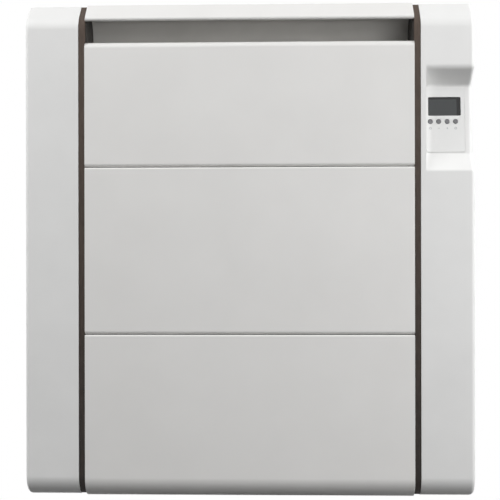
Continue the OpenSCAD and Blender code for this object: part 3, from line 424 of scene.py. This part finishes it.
def cast_aluminium():
    """Die-cast aluminium of the heater cores: bright grey metal with a dull, slightly pitted skin."""
    return patterned("cast_aluminium", (18, "#B4B5B6", "#CDCECE"), (3, 0.42, 0.62),
                     grain=(1.2, 0.03), Metallic=1.0)


def heat_tinted_steel():
    """Annealed stainless sheath of a heating rod: dark metal with straw and blue patches from its heat."""
    return patterned("heat_tinted_steel", (22, "#5B5148", "#6B6E78"), (5, 0.38, 0.55), Metallic=1.0)


def plain(name, first, second, rough, grain=0.8, ior=1.5):
    """A material in nearly one colour, with an even gloss and a fine grain of so many mm."""
    even = (3, rough - 0.05, rough + 0.05)
    return patterned(name, (15, first, second), even, grain=(grain, 0.01), detail=1.0, IOR=ior)


def circuit_board():
    """Glass-epoxy board under green solder mask: glossy, with slightly raised copper tracks below it."""
    material, tree, shader, place = new_material("solder_mask", IOR=1.55)
    quarter = math.radians(90)
    turned = add(tree, "ShaderNodeMapping", {"Vector": place, "Rotation": (0, quarter, quarter)})
    # The pattern's blocks are half of its unit by a quarter, so the tracks run round areas of 7 by 3.5 mm.
    bricks = {"Vector": turned.outputs["Vector"], "Scale": 1 / (14 * MM), "Mortar Size": 0.06,
              "Mortar Smooth": 0.1}
    tracks = add(tree, "ShaderNodeTexBrick", bricks).outputs["Fac"]
    two_tone(tree, shader, tracks, "#12502A", "#2A7A45")
    skin(tree, shader, place, (5, 0.22, 0.34))
    relief(tree, shader, tracks, 0.04)
    return material


def laminated_transformer():
    """Laminated steel core with yellow tape round its winding: thin lines between the sheets."""
    material, tree, shader, place = new_material("taped_transformer", IOR=1.5)
    # Sheets of about 0.5 mm, drawn 4 mm apart so that they show. A wave of scale 1 repeats every 0.314 m.
    waves = {"Vector": place, "Scale": 1 / (4 * math.pi * MM), "Distortion": 0.3}
    sheets = add(tree, "ShaderNodeTexWave", waves, bands_direction="X").outputs["Fac"]
    two_tone(tree, shader, sheets, "#C79A2B", "#E0BC52")
    skin(tree, shader, place, (4, 0.3, 0.45))
    relief(tree, shader, sheets, 0.05)
    return material


def zinc_plate():
    """Bright zinc plate on a screw: a smooth metal with a faint passivated tint."""
    return patterned("zinc_plate", (2, "#B9BBB4", "#D2D2CE"), (1, 0.22, 0.34), Metallic=1.0)


def rubber():
    """Moulded EPDM rubber: nearly black, matt, with a dusty bloom."""
    return patterned("epdm_rubber", (6, "#26272A", "#35363A"), (2, 0.7, 0.85), grain=(0.9, 0.02), IOR=1.52)


def smoked_lens(controls, centre, half):
    """Polycarbonate window over an idle reflective LCD: glossy, dark at its printed border, greyer inside."""
    material, tree, shader, place = new_material("smoked_lens", IOR=1.58, Roughness=0.12)
    shifted = add(tree, "ShaderNodeVectorMath", {0: place, 1: tuple(centre)}, operation="SUBTRACT")
    split = add(tree, "ShaderNodeSeparateXYZ", {"Vector": shifted.outputs["Vector"]}).outputs
    inside = []
    for axis, reach in (("X", half[0]), ("Z", half[1])):
        size = add(tree, "ShaderNodeMath", {0: split[axis]}, operation="ABSOLUTE").outputs["Value"]
        fade = {"From Min": reach, "From Max": reach + LENS_FADE * MM, "To Min": 1, "To Max": 0}
        inside.append(add(tree, "ShaderNodeMapRange", {"Value": size, **fade}).outputs["Result"])
    both = add(tree, "ShaderNodeMath", {0: inside[0], 1: inside[1]}, operation="MULTIPLY").outputs["Value"]
    two_tone(tree, shader, both, controls.lens_border, controls.lcd_ground)
    return material


# Settings

def colour(name, of_what, default):
    return StringProperty(name=name, description="sRGB hex colour of " + of_what, default=default)


def size_mm(name, description, default, low, high):
    return FloatProperty(name=name, description=description + ", in mm", default=default, min=low, max=high)


def share(name, description, default, low, high):
    return FloatProperty(name=name, description=description, default=default, min=low, max=high,
                         subtype="FACTOR")


def metres(name, description, default):
    return FloatProperty(name=name, description=description, default=default, unit="LENGTH")


def degrees(name, description, default):
    return FloatProperty(name=name, description=description, default=math.radians(default), subtype="ANGLE")


def power(name, where, default):
    return FloatProperty(name=name, description="Power of the light " + where, default=default, unit="POWER")


def group(kind, name, description):
    return PointerProperty(type=kind, name=name, description=description)


class RADIATOR_PG_paint(bpy.types.PropertyGroup):
    white_low: colour("Paint, darker patches", "the painted sheet at its darkest", "#EDECEA")
    white_high: colour("Paint, lighter patches", "the painted sheet at its lightest", "#F1F0EE")
    moulded_low: colour("Moulding, darker patches", "the end caps at their darkest", "#EEEEED")
    moulded_high: colour("Moulding, lighter patches", "the end caps at their lightest", "#F2F2F1")
    gloss: share("Paint roughness", "Roughness of the satin paint", 0.40, 0.1, 0.8)
    sheet_edge: size_mm("Sheet edge", "Easing of a cut or folded sheet edge", 0.45, 0.1, 0.9)
    cap_edge: size_mm("Cap edge", "Easing of a moulded edge", 0.7, 0.2, 1.2)


class RADIATOR_PG_bends(bpy.types.PropertyGroup):
    foot: size_mm("Foot bend", "Outside radius of the foot of the front", 24, 20, 26)
    slope: size_mm("Slope bend", "Outside radius where an end cap starts to slope", 22, 13, 30)
    joint: size_mm("Joint bend", "Outside radius of a panel's lower edge at a joint", 3.8, 2, 4)
    rail: size_mm("Rail bend", "Outside radius of the lower edge of the top rail", 2.5, 2, 3.1)
    slot: size_mm("Slot edge bend", "Outside radius of the panel's edge under the slot", 7, 5, 8)
    close: size_mm("Joint closing", "How far each panel reaches into a joint", 0.52, 0, 0.6)
    overhang: size_mm("Overhang edge", "Radius of the outer edge of the pocket's overhang", 9, 3, 10)
    pocket: size_mm("Pocket corner", "Radius of the corner between the overhang and the floor", 5, 3, 5.4)


class RADIATOR_PG_controls(bpy.types.PropertyGroup):
    ink: colour("Ink", "the marks printed on the fascia", "#A9ABAE")
    button: colour("Button", "the buttons", "#747476")
    lens_border: colour("Lens border", "the printed border of the window", "#08080A")
    lcd_ground: colour("Display ground", "the idle display", "#3A3D3E")
    border: size_mm("Window border", "Width of the printed border at the sides of the window", 3.8, 1, 5)
    border_share: share("Border share", "Border above and below, as a share of the sides' one", 0.7, 0.3, 1)
    lcd_shift: size_mm("Display shift", "How far the display sits to the left in its window", 2.0, 0, 3)
    icon_size: size_mm("Icon size", "Width of a printed mark", 3.0, 2, 4)
    icon_drop: size_mm("Icon drop", "From the buttons down to their marks", 8.0, 5, 10)
    icon_line: size_mm("Icon line", "Line width of a mark", 0.42, 0.2, 0.7)
    print_height: size_mm("Print height", "Thickness of the ink", 0.04, 0.02, 0.1)


class RADIATOR_PG_stage(bpy.types.PropertyGroup):
    distance: metres("Camera distance", "From the front of the radiator", 1.25)
    turn: degrees("Camera turn", "How far the camera stands round to the right", 1.69)
    lean: degrees("Camera lean", "How far the camera leans to the right", 0.1)
    width: metres("Framed width", "Width that the view takes in at the front", 0.58045)
    aim_x: metres("Aim across", "Where the view is centred, across", 0.00116)
    aim_z: metres("Aim height", "Where the view is centred, up and down", -0.0007)
    floor_drop: metres("Floor drop", "From the radiator down to the floor", 0.12)
    key: power("Key light", "near the radiator at the upper right", 9.1)
    fill: power("Fill light", "at the upper left", 20.4)
    low: power("Low light", "at the right, a little below the radiator's middle", 13.0)
    left_edge: power("Left edge light", "at the far left", 15.0)
    right_edge: power("Right edge light", "at the far right", 22.4)


class RADIATOR_PG_settings(bpy.types.PropertyGroup):
    paint: group(RADIATOR_PG_paint, "Paint", "Finish of the white pieces")
    bends: group(RADIATOR_PG_bends, "Bends", "Bends of the front and the end caps")
    controls: group(RADIATOR_PG_controls, "Controls", "Finish of the controls")
    stage: group(RADIATOR_PG_stage, "Stage", "Floor, lights and camera")


# Operators, one for each group of like pieces

class RADIATOR_OT_front(bpy.types.Operator):
    """Paint the front panels, the top rail and the intake grille"""
    bl_idname = "radiator.front"
    bl_label = "Painted front"

    def execute(self, context):
        paint = context.scene.radiator.paint
        bends = context.scene.radiator.bends
        coat = powder_coat(paint)
        for node, joint_below, joint_above in PANELS:
            dress(node, coat, paint.sheet_edge,
                  reshape=lambda bm: reshape_panel(bm, node, joint_below, joint_above, bends))
        dress("top_rail", coat, paint.sheet_edge, reshape=lambda bm: reshape_rail(bm, bends))
        dress("intake_grille", coat, edge=0.25, segments=1)
        return {"FINISHED"}


def reshape_panel(bm, node, joint_below, joint_above, bends):
    """Softens a panel's lower edge, the foot or the edge under the slot, and closes its joints a little."""
    low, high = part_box(node)
    if joint_below:
        softer_bend(bm, (low.y, low.z), (UP, BACK), CAD_SHEET_EDGE, bends.joint, SHEET_REACH)
    else:
        softer_bend(bm, (low.y, low.z), (UP, BACK), CAD_FOOT, bends.foot, BODY_REACH)
    if not joint_above:
        softer_bend(bm, (low.y, high.z), (DOWN, BACK), CAD_SLOT_EDGE, bends.slot, SHEET_REACH)
    for joint, z, way in ((joint_below, low.z, -1), (joint_above, high.z, 1)):
        if joint:
            for vert in bm.verts:
                if abs(vert.co.z - z) < JOINT_REACH * MM:
                    vert.co.z += way * bends.close * MM


def reshape_rail(bm, bends):
    """Softens the lower edge of the top rail, where its slope turns back over the slot."""
    corner = (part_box("right_end_cap")[0].y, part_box("top_rail")[1].z - SLOPE_HEIGHT * MM)
    slope = (SLOPE_DEPTH, SLOPE_HEIGHT)
    softer_bend(bm, corner, (slope, BACK), CAD_SHEET_EDGE, bends.rail, SHEET_REACH)


def reshape_end(bm, bends):
    """Softens the foot and the start of the slope of an end cap or of the frame beside it."""
    low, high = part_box("left_end_cap")
    slope = (SLOPE_DEPTH, SLOPE_HEIGHT)
    softer_bend(bm, (low.y, low.z), (UP, BACK), CAD_FOOT, bends.foot, BODY_REACH)
    softer_bend(bm, (low.y, high.z - SLOPE_HEIGHT * MM), (DOWN, slope), CAD_SLOPE, bends.slope, BODY_REACH)


def reshape_right_cap(bm, bends):
    """Softens the right end cap, with the overhang of its control pocket."""
    reshape_end(bm, bends)
    edge = Vector((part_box("right_end_cap")[0].y, POCKET_TOP * MM))
    inside = Vector((OVERHANG_DEPTH, -OVERHANG_HEIGHT)) * MM
    floor = Vector((-POCKET_RISE, -POCKET_HEIGHT))
    softer_bend(bm, edge, (UP, inside), CAD_POCKET_EDGE, bends.overhang, POCKET_REACH)
    softer_bend(bm, edge + inside, (-inside, floor), CAD_POCKET_CORNER, bends.pocket, POCKET_REACH)


class RADIATOR_OT_caps(bpy.types.Operator):
    """Finish the moulded end caps and the fascia in the control pocket"""
    bl_idname = "radiator.caps"
    bl_label = "End caps"

    def execute(self, context):
        paint = context.scene.radiator.paint
        bends = context.scene.radiator.bends
        abs_skin = moulded_abs(paint)
        for node, reshape in (("left_end_cap", reshape_end), ("right_end_cap", reshape_right_cap)):
            dress(node, abs_skin, paint.cap_edge, reshape=lambda bm: reshape(bm, bends))
        dress("control_fascia", abs_skin, edge=0.2)
        return {"FINISHED"}


class RADIATOR_OT_seams(bpy.types.Operator):
    """Finish the dark end frames in the seams and the enamelled air guide"""
    bl_idname = "radiator.seams"
    bl_label = "Seams and air guide"

    def execute(self, context):
        plastic = seam_plastic()
        bends = context.scene.radiator.bends
        for node in ("left_end_frame", "right_end_frame"):
            dress(node, plastic, edge=0.15, segments=1,
                  reshape=lambda bm: reshape_end(bm, bends))
        enamel = stove_enamel()
        dress("outlet_deflector", enamel, edge=0.3)
        finish(enamel, "outlet_guard")
        return {"FINISHED"}


class RADIATOR_OT_display(bpy.types.Operator):
    """Finish the display window and the display and holder behind it"""
    bl_idname = "radiator.display"
    bl_label = "Display"

    def execute(self, context):
        controls = context.scene.radiator.controls
        low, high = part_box("display_lens")
        borders = (controls.border * MM, controls.border * controls.border_share * MM)
        half = [(high[k] - low[k]) / 2 - border for k, border in zip((0, 2), borders)]
        # The display sits to the left in its window, and half as much too low.
        centre = (low + high) / 2 + Vector((-controls.lcd_shift, 0, -controls.lcd_shift / 2)) * MM
        dress("display_lens", smoked_lens(controls, centre, half), edge=0.25)
        # Float glass over the idle display: a dark, clean gloss
        finish(plain("display_glass", "#1C2021", "#232829", rough=0.15, ior=1.52), "display_panel")
        # White moulded ABS that spreads the backlight: bright and matt
        finish(plain("backlight_holder_abs", "#DEDEDA", "#E6E6E3", rough=0.5), "backlight_holder")
        return {"FINISHED"}


class RADIATOR_OT_buttons(bpy.types.Operator):
    """Finish the four buttons and print a plain mark under each"""
    bl_idname = "radiator.buttons"
    bl_label = "Buttons"

    def execute(self, context):
        controls = context.scene.radiator.controls
        # Moulded ABS in mid grey: satin
        keys = plain("button_abs", controls.button, "#7A7A7C", rough=0.5)
        for node in MARKS:
            dress(node, keys, edge=0.35, body=node, segments=3)
        bm = bmesh.new()
        for node, mark in MARKS.items():
            low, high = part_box(node)
            x, z = (low.x + high.x) / 2, -controls.icon_drop * MM
            loops = mark(x, z, controls.icon_size * MM, controls.icon_line * MM)
            solid_from_loops(bm, loops, controls.print_height * MM)
        bm.transform(fascia_frame())
        # Pad-printed ink: a thin pale grey film, about as matt as the moulding under it
        ink = plain("pad_print_ink", controls.ink, "#AEB0B3", rough=0.5)
        placed(piece_from(bm, "button_marks"), BODY, ink)
        return {"FINISHED"}


def fascia_frame():
    """Turns points with y = 0 on the fascia's face and z = 0 on the row of buttons into the model's frame."""
    into = press_axis()
    up = Vector((0, -into.z, into.y))
    face = min(v.co @ into for v in frame["nodes"]["control_fascia"].data.vertices)
    low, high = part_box("button_power")
    row = (low + high) / 2 @ up
    turned = Matrix((Vector((1, 0, 0)), into, up)).transposed().to_4x4()
    return Matrix.Translation(into * face + up * row) @ turned


def power_mark(x, z, size, line):
    """A ring that is open at the top, with a stroke in the gap."""
    ring, stroke, rise = size * 0.4, size * 0.42, size * 0.32
    return arc_band(x, z, ring, line, -240, 60) + [bar(x, z + rise, line, stroke)]


def minus_mark(x, z, size, line):
    width = size * 0.75
    return [bar(x, z, width, line)]


def plus_mark(x, z, size, line):
    """A minus with an arm above and below it, which touch it and don't overlap it."""
    height = size * 0.75
    arm = (height - line) / 2
    offset = (arm + line) / 2
    return minus_mark(x, z, size, line) + [bar(x, z + way * offset, line, arm) for way in (-1, 1)]


def clock_mark(x, z, size, line):
    """A ring with a hand that points up and a shorter one that points right."""
    ring, hand = size * 0.42, line * 0.8
    long_hand, rise = size * 0.3, size * 0.13
    short_hand, shift, drop = size * 0.2, size * 0.14, size * 0.02
    hands = [bar(x, z + rise, hand, long_hand), bar(x + shift, z - drop, short_hand, hand)]
    return arc_band(x, z, ring, line, 0, 360, steps=24) + hands


MARKS = {
    "button_power": power_mark,
    "button_minus": minus_mark,
    "button_plus": plus_mark,
    "button_mode": clock_mark,
}


class RADIATOR_OT_switch(bpy.types.Operator):
    """Finish the mains switch and its rocker"""
    bl_idname = "radiator.switch"
    bl_label = "Mains switch"

    def execute(self, context):
        # Moulded nylon, black: satin
        nylon = plain("switch_nylon", "#161617", "#1D1D1F", rough=0.4)
        dress("switch_housing", nylon, edge=0.3)
        # Polycarbonate from a polished mould, red: glossy
        polycarbonate = plain("rocker_polycarbonate", "#A3140F", "#B01B14", rough=0.2)
        dress("switch_rocker", polycarbonate, edge=0.35, body="rocker")
        # Brass tabs behind the switch: pale yellow, drawn without a metal's mirror since they lie in the dark
        finish(plain("tinned_brass", "#C9A45A", "#D8B871", rough=0.3), "switch_terminals")
        return {"FINISHED"}


class RADIATOR_OT_heating(bpy.types.Operator):
    """Finish the heater cores, their rods and what guards them"""
    bl_idname = "radiator.heating"
    bl_label = "Heating"

    def execute(self, context):
        finish(cast_aluminium(), "upper_heater_core", "middle_heater_core", "lower_heater_core")
        finish(heat_tinted_steel(), "upper_heating_rod", "middle_heating_rod", "lower_heating_rod")
        # Pressed and fired steatite: cream, with a faint sheen
        finish(plain("steatite", "#DDD5C2", "#E6DFCE", rough=0.35), "rod_bushes")
        # Pressed phenolic resin: brownish black and dull
        finish(plain("phenolic", "#1A1716", "#221E1C", rough=0.45), "thermal_cutout")
        return {"FINISHED"}


class RADIATOR_OT_chassis(bpy.types.Operator):
    """Finish the sheet steel behind the front, the wall bracket and the rubber pieces"""
    bl_idname = "radiator.chassis"
    bl_label = "Chassis and bracket"

    def execute(self, context):
        steel = galvanised()
        # The side plates are drawn black as painted shade for the slot's shaded ends.
        finish(painted_shade_coat(), "left_side_plate", "right_side_plate")
        finish(steel, "upper_cross_rail", "lower_cross_rail", "heat_shield")
        dress("rear_cover", steel, edge=0.25, segments=1)
        dress("wall_bracket", steel, edge=0.35)
        epdm = rubber()
        dress("cable_inlet", epdm, edge=0.5)
        dress("wall_buffers", epdm, edge=0.6)
        return {"FINISHED"}


class RADIATOR_OT_electrics(bpy.types.Operator):
    """Finish the boards, their parts and the wiring"""
    bl_idname = "radiator.electrics"
    bl_label = "Electrics"

    def execute(self, context):
        finish(circuit_board(), "control_board", "power_board")
        # Moulded PBT, black: satin
        finish(plain("relay_pbt", "#1B1B1D", "#242427", rough=0.35), "relay", "tact_switches")
        finish(laminated_transformer(), "transformer")
        # Moulded case of a film capacitor: mustard yellow, glossy
        finish(plain("film_capacitor", "#D39A22", "#DDA731", rough=0.3), "filter_capacitor")
        # Moulded polyamide, dyed green: silky
        finish(plain("terminal_polyamide", "#1F7A49", "#278656", rough=0.45), "board_terminals")
        # Moulded polyamide without dye: milky white, silky
        natural = plain("natural_polyamide", "#DAD7CB", "#E4E1D7", rough=0.45)
        finish(natural, "mains_terminal_block", "room_sensor")
        # Extruded silicone, red: dull
        finish(plain("silicone_lead", "#A32218", "#B02B20", rough=0.55, grain=1.5), "heater_wiring")
        # Extruded PVC, brown: smooth, with a slight shine
        finish(plain("pvc_lead", "#5A3520", "#643D26", rough=0.4, grain=1.5), "mains_wiring")
        # Extruded PVC ribbon, grey: silky
        finish(plain("ribbon_pvc", "#8C8E90", "#9A9C9E", rough=0.45), "control_lead")
        return {"FINISHED"}


def turned_solid(profile):
    """A closed solid round the Z axis, from the radius and height of each of its rings, the top one first."""
    bm = bmesh.new()
    angles = [2 * math.pi * i / SCREW_SIDES for i in range(SCREW_SIDES)]
    rings = []
    for r, z in profile:
        if r == 0:
            rings.append([bm.verts.new((0, 0, z))])
        else:
            rings.append([bm.verts.new((r * math.cos(t), r * math.sin(t), z)) for t in angles])
    for upper, lower in zip(rings, rings[1:]):
        for i in range(SCREW_SIDES):
            j = (i + 1) % SCREW_SIDES
            if len(upper) == 1:
                bm.faces.new((upper[0], lower[i], lower[j]))
            elif len(lower) == 1:
                bm.faces.new((upper[j], upper[i], lower[0]))
            else:
                bm.faces.new((upper[j], upper[i], lower[i], lower[j]))
    bmesh.ops.recalc_face_normals(bm, faces=bm.faces)
    return bm


def screw_shape(head_r, head_h, shank_r, length):
    """A pan-head screw along -Z, with the underside of its head at the origin."""
    slopes = [math.radians(angle) for angle in CROWN_ANGLES]
    crown = [(head_r * math.cos(a), head_h * (RIM_HEIGHT + (1 - RIM_HEIGHT) * math.sin(a))) for a in slopes]
    pitch = THREAD_PITCH * MM
    turns = max(int(length / pitch) - 1, THREAD_TURNS)
    profile = [(0.0, head_h)] + crown[::-1] + [(head_r, 0.0), (shank_r, 0.0)]
    for k in range(turns):
        z = -length * (k + 1) / (turns + 1)
        profile += [(shank_r * THREAD_ROOT, z + THREAD_RISE * pitch), (shank_r, z)]
    profile += [(shank_r * TIP_RADIUS, -length + TIP_HEIGHT * MM), (0.0, -length)]
    return turned_solid(profile)


def cross_shape(reach, width, depth, top):
    """The cutter of a cross recess: two crossed bars that taper to their bottom."""
    bm = bmesh.new()
    outline = []
    h = width / 2
    for c, s in ((1, 0), (0, 1), (-1, 0), (0, -1)):
        outline += [(u * c - v * s, u * s + v * c) for u, v in ((reach, -h), (reach, h), (h, h))]
    low = [bm.verts.new((x * CROSS_TAPER, y * CROSS_TAPER, top - depth)) for x, y in outline]
    high = [bm.verts.new((x, y, top + CROSS_PROUD * MM)) for x, y in outline]
    bm.faces.new(high)
    bm.faces.new(low[::-1])
    for i in range(len(outline)):
        j = (i + 1) % len(outline)
        bm.faces.new((low[i], low[j], high[j], high[i]))
    bmesh.ops.recalc_face_normals(bm, faces=bm.faces)
    return bm


def scatter_tree(material):
    """Puts a copy of a screw on each point, turned by the point's own turn attribute."""
    tree = bpy.data.node_groups.new("screws_on_points", "GeometryNodeTree")
    tree.interface.new_socket("Geometry", in_out="INPUT", socket_type="NodeSocketGeometry")
    tree.interface.new_socket("Screw", in_out="INPUT", socket_type="NodeSocketObject")
    tree.interface.new_socket("Geometry", in_out="OUTPUT", socket_type="NodeSocketGeometry")
    given = add(tree, "NodeGroupInput").outputs
    shape = add(tree, "GeometryNodeObjectInfo", {"Object": given["Screw"]}, transform_space="ORIGINAL")
    turn = add(tree, "GeometryNodeInputNamedAttribute", {"Name": "turn"}, data_type="FLOAT_VECTOR")
    euler = add(tree, "FunctionNodeEulerToRotation", {"Euler": turn.outputs["Attribute"]})
    copies = add(tree, "GeometryNodeInstanceOnPoints", {"Points": given["Geometry"],
                                                        "Instance": shape.outputs["Geometry"],
                                                        "Rotation": euler.outputs["Rotation"]})
    real = add(tree, "GeometryNodeRealizeInstances", {"Geometry": copies.outputs["Instances"]})
    done = add(tree, "GeometryNodeSetMaterial", {"Geometry": real.outputs["Geometry"], "Material": material})
    add(tree, "NodeGroupOutput", {"Geometry": done.outputs["Geometry"]})
    return tree


def run_tree(piece, tree, values):
    """Runs a tree on a piece with its inputs set by identifier, and keeps the result as plain mesh."""
    modifier = piece.modifiers.new(tree.name, "NODES")
    modifier.node_group = tree
    for item in tree.interface.items_tree:
        if item.in_out == "INPUT" and item.name in values:
            modifier[item.identifier] = values[item.name]
    applied(piece)


class RADIATOR_OT_screws(bpy.types.Operator):
    """Replace the plain screws by screws with threads and a cross recess"""
    bl_idname = "radiator.screws"
    bl_label = "Screws"

    def execute(self, context):
        zinc = zinc_plate()
        tree = scatter_tree(zinc)
        towards_wall, right, into = Vector((0, 1, 0)), Vector((1, 0, 0)), press_axis()
        # The way from a screw's tip to its head, by its place across: core screws point out on both sides.
        ways = {
            "cap_screws": lambda x: towards_wall,
            "cover_screws": lambda x: towards_wall,
            "core_screws": lambda x: right * math.copysign(1, x),
            "power_board_screws": lambda x: right,
            "control_board_screws": lambda x: into,
        }
        for node, way in ways.items():
            fitted_screws(node, way, tree, zinc)
        return {"FINISHED"}


def screw_sizes(points, axis):
    """The head's radius and height, the shank's radius and length and the head's seat of one CAD screw."""
    middle = sum(points, Vector()) / len(points)
    along = [(p - middle) @ axis for p in points]
    out = [((p - middle) - axis * a).length for p, a in zip(points, along)]
    tip = min(along) + 0.1 * MM
    head_r = max(out)
    shank_r = max(r for r, a in zip(out, along) if a < tip)
    seat = min(a for r, a in zip(out, along) if r > (head_r + shank_r) / 2)
    return head_r, max(along) - seat, shank_r, seat - min(along), middle + axis * seat


def fitted_screws(node, way, tree, zinc):
    """One piece for all the screws of a node, which are alike, each at its CAD screw's place."""
    seats, turns = [], []
    for k, points in enumerate(islands(node)):
        axis = way(points[0].x)
        head_r, head_h, shank_r, length, seat = screw_sizes(points, axis)
        seats.append(seat)
        spin = Matrix.Rotation(math.radians(SPIN * k), 4, "Z")
        turns.append((axis.to_track_quat("Z", "Y").to_matrix().to_4x4() @ spin).to_euler())
    screw = piece_from(screw_shape(head_r, head_h, shank_r, length), "screw")
    reach, width, depth = head_r * CROSS_REACH, head_r * CROSS_WIDTH, head_h * CROSS_DEPTH
    cutter = piece_from(cross_shape(reach, width, depth, head_h), "cross")
    cut = screw.modifiers.new("recess", "BOOLEAN")
    cut.object = cutter
    cut.solver = "EXACT"
    applied(screw)
    screw.data.shade_smooth()
    screw.data.set_sharp_from_angle(angle=SCREW_ANGLE)
    cloud = bpy.data.meshes.new(node + "_threaded")
    cloud.from_pydata(seats, [], [])
    turn = cloud.attributes.new("turn", "FLOAT_VECTOR", "POINT")
    for k, euler in enumerate(turns):
        turn.data[k].vector = tuple(euler)
    piece = linked(node + "_threaded", cloud)
    run_tree(piece, tree, {"Screw": screw})
    for spare in (screw, cutter):
        bpy.data.objects.remove(spare)
    placed(piece, BODY, zinc, node)


class RADIATOR_OT_stage(bpy.types.Operator):
    """Set the floor, the lights, the surroundings and the camera"""
    bl_idname = "radiator.stage"
    bl_label = "Stage"

    def execute(self, context):
        stage = context.scene.radiator.stage
        low = Vector(cad_box[0])
        aim = Vector((stage.aim_x, low.y, stage.aim_z))
        set_camera(context.scene, stage, aim)
        set_world(context.scene)
        bm = bmesh.new()
        bmesh.ops.create_grid(bm, x_segments=1, y_segments=1, size=FLOOR_SIZE)
        bmesh.ops.translate(bm, vec=(0, 0, low.z - stage.floor_drop), verts=bm.verts)
        floor = piece_from(bm, "floor")
        floor.data.materials.append(floor_paint())
        for name, (angles, distance, size) in LIGHTS.items():
            area_light(name, aim, angles, distance, size, getattr(stage, name))
        return {"FINISHED"}


def set_camera(scene, stage, aim):
    """The camera level with its aim, turned round it and leaning a little."""
    camera = linked("camera", bpy.data.cameras.new("camera"))
    camera.data.sensor_width = SENSOR
    camera.data.lens = SENSOR * stage.distance / stage.width
    camera.data.clip_end = CLIP_END
    away = Vector((math.sin(stage.turn), -math.cos(stage.turn), 0)) * stage.distance
    upright = (-away).to_track_quat("-Z", "Y").to_matrix().to_4x4()
    camera.matrix_world = Matrix.Translation(aim + away) @ upright @ Matrix.Rotation(-stage.lean, 4, "Z")
    scene.camera = camera


def seen_directly(tree):
    """1 for camera, glossy and transmission rays, 0 for the rays that light the object."""
    path = add(tree, "ShaderNodeLightPath").outputs
    seen = path["Is Camera Ray"]
    for ray in ("Is Glossy Ray", "Is Transmission Ray"):
        seen = add(tree, "ShaderNodeMath", {0: seen, 1: path[ray]}, operation="MAXIMUM").outputs["Value"]
    return seen


def set_world(scene):
    """Surroundings that are seen and mirrored as plain white, and leave the lighting to the lamps."""
    world = bpy.data.worlds.new("studio")
    world.use_nodes = True
    tree = world.node_tree
    tree.nodes.clear()
    light = add(tree, "ShaderNodeBackground", {"Color": (1, 1, 1, 1), "Strength": seen_directly(tree)})
    add(tree, "ShaderNodeOutputWorld", {"Surface": light.outputs["Background"]})
    scene.world = world
    scene.view_settings.view_transform = "Standard"


def floor_paint():
    """Matt pale studio floor that keeps the shadow near the object and runs out to the white around it."""
    material = bpy.data.materials.new("studio_floor")
    material.use_nodes = True
    tree = material.node_tree
    tree.nodes.clear()
    place = add(tree, "ShaderNodeTexCoord").outputs["Object"]
    flat = add(tree, "ShaderNodeVectorMath", {0: place, 1: (1, 1, 0)}, operation="MULTIPLY").outputs["Vector"]
    away = add(tree, "ShaderNodeVectorMath", {0: flat}, operation="LENGTH").outputs["Value"]
    far = add(tree, "ShaderNodeMapRange", {"Value": away, "From Min": FADE_START, "From Max": FADE_END},
              interpolation_type="SMOOTHSTEP").outputs["Result"]
    paint = add(tree, "ShaderNodeBsdfDiffuse", {"Color": hex_colour("#F4F4F4")}).outputs["BSDF"]
    glow = add(tree, "ShaderNodeEmission", {"Color": (1, 1, 1, 1), "Strength": 1.0}).outputs["Emission"]
    pale = add(tree, "ShaderNodeMixShader", {0: far, 1: paint, 2: glow}).outputs["Shader"]
    # Light that the floor would throw back up is held down, so the foot of the front stays dark.
    dark = add(tree, "ShaderNodeBsdfDiffuse", {"Color": hex_colour("#303030")}).outputs["BSDF"]
    both = add(tree, "ShaderNodeMixShader", {0: seen_directly(tree), 1: dark, 2: pale}).outputs["Shader"]
    add(tree, "ShaderNodeOutputMaterial", {"Surface": both})
    return material


def area_light(name, aim, angles, distance, size, watts):
    """A rectangular light that faces aim, from an angle to the right and an angle above the horizon."""
    turn, rise = (math.radians(angle) for angle in angles)
    away = Vector((math.sin(turn) * math.cos(rise), -math.cos(turn) * math.cos(rise), math.sin(rise)))
    data = bpy.data.lights.new(name, "AREA")
    data.shape = "RECTANGLE"
    data.size, data.size_y = size
    data.energy = watts
    lamp = linked(name, data)
    lamp.location = aim + away * distance
    lamp.rotation_euler = (-away).to_track_quat("-Z", "Y").to_euler()


class RADIATOR_PT_panel(bpy.types.Panel):
    """Lists the pieces of the radiator"""
    bl_idname = "RADIATOR_PT_panel"
    bl_label = "Radiator"
    bl_space_type = "VIEW_3D"
    bl_region_type = "UI"
    bl_category = "Radiator"

    def draw(self, context):
        for operator in OPERATORS:
            self.layout.operator(operator.bl_idname, text=operator.bl_label)
        settings = context.scene.radiator
        for part in (settings.paint, settings.bends, settings.controls, settings.stage):
            box = self.layout.box()
            for name in part.__annotations__:
                box.prop(part, name)


OPERATORS = (
    RADIATOR_OT_front, RADIATOR_OT_caps, RADIATOR_OT_seams, RADIATOR_OT_display, RADIATOR_OT_buttons,
    RADIATOR_OT_switch, RADIATOR_OT_heating, RADIATOR_OT_chassis, RADIATOR_OT_electrics, RADIATOR_OT_screws,
    RADIATOR_OT_stage,
)
GROUPS = (RADIATOR_PG_paint, RADIATOR_PG_bends, RADIATOR_PG_controls, RADIATOR_PG_stage, RADIATOR_PG_settings)
CLASSES = GROUPS + OPERATORS + (RADIATOR_PT_panel,)


def register():
    for cls in CLASSES:
        bpy.utils.register_class(cls)
    bpy.types.Scene.radiator = group(RADIATOR_PG_settings, "Radiator", "Looks of the radiator")


def unregister():
    del bpy.types.Scene.radiator
    for cls in reversed(CLASSES):
        bpy.utils.unregister_class(cls)


def main():
    register()
    for operator in OPERATORS:
        getattr(bpy.ops.radiator, operator.bl_idname.partition(".")[2])()


if __name__ == "__main__":
    main()
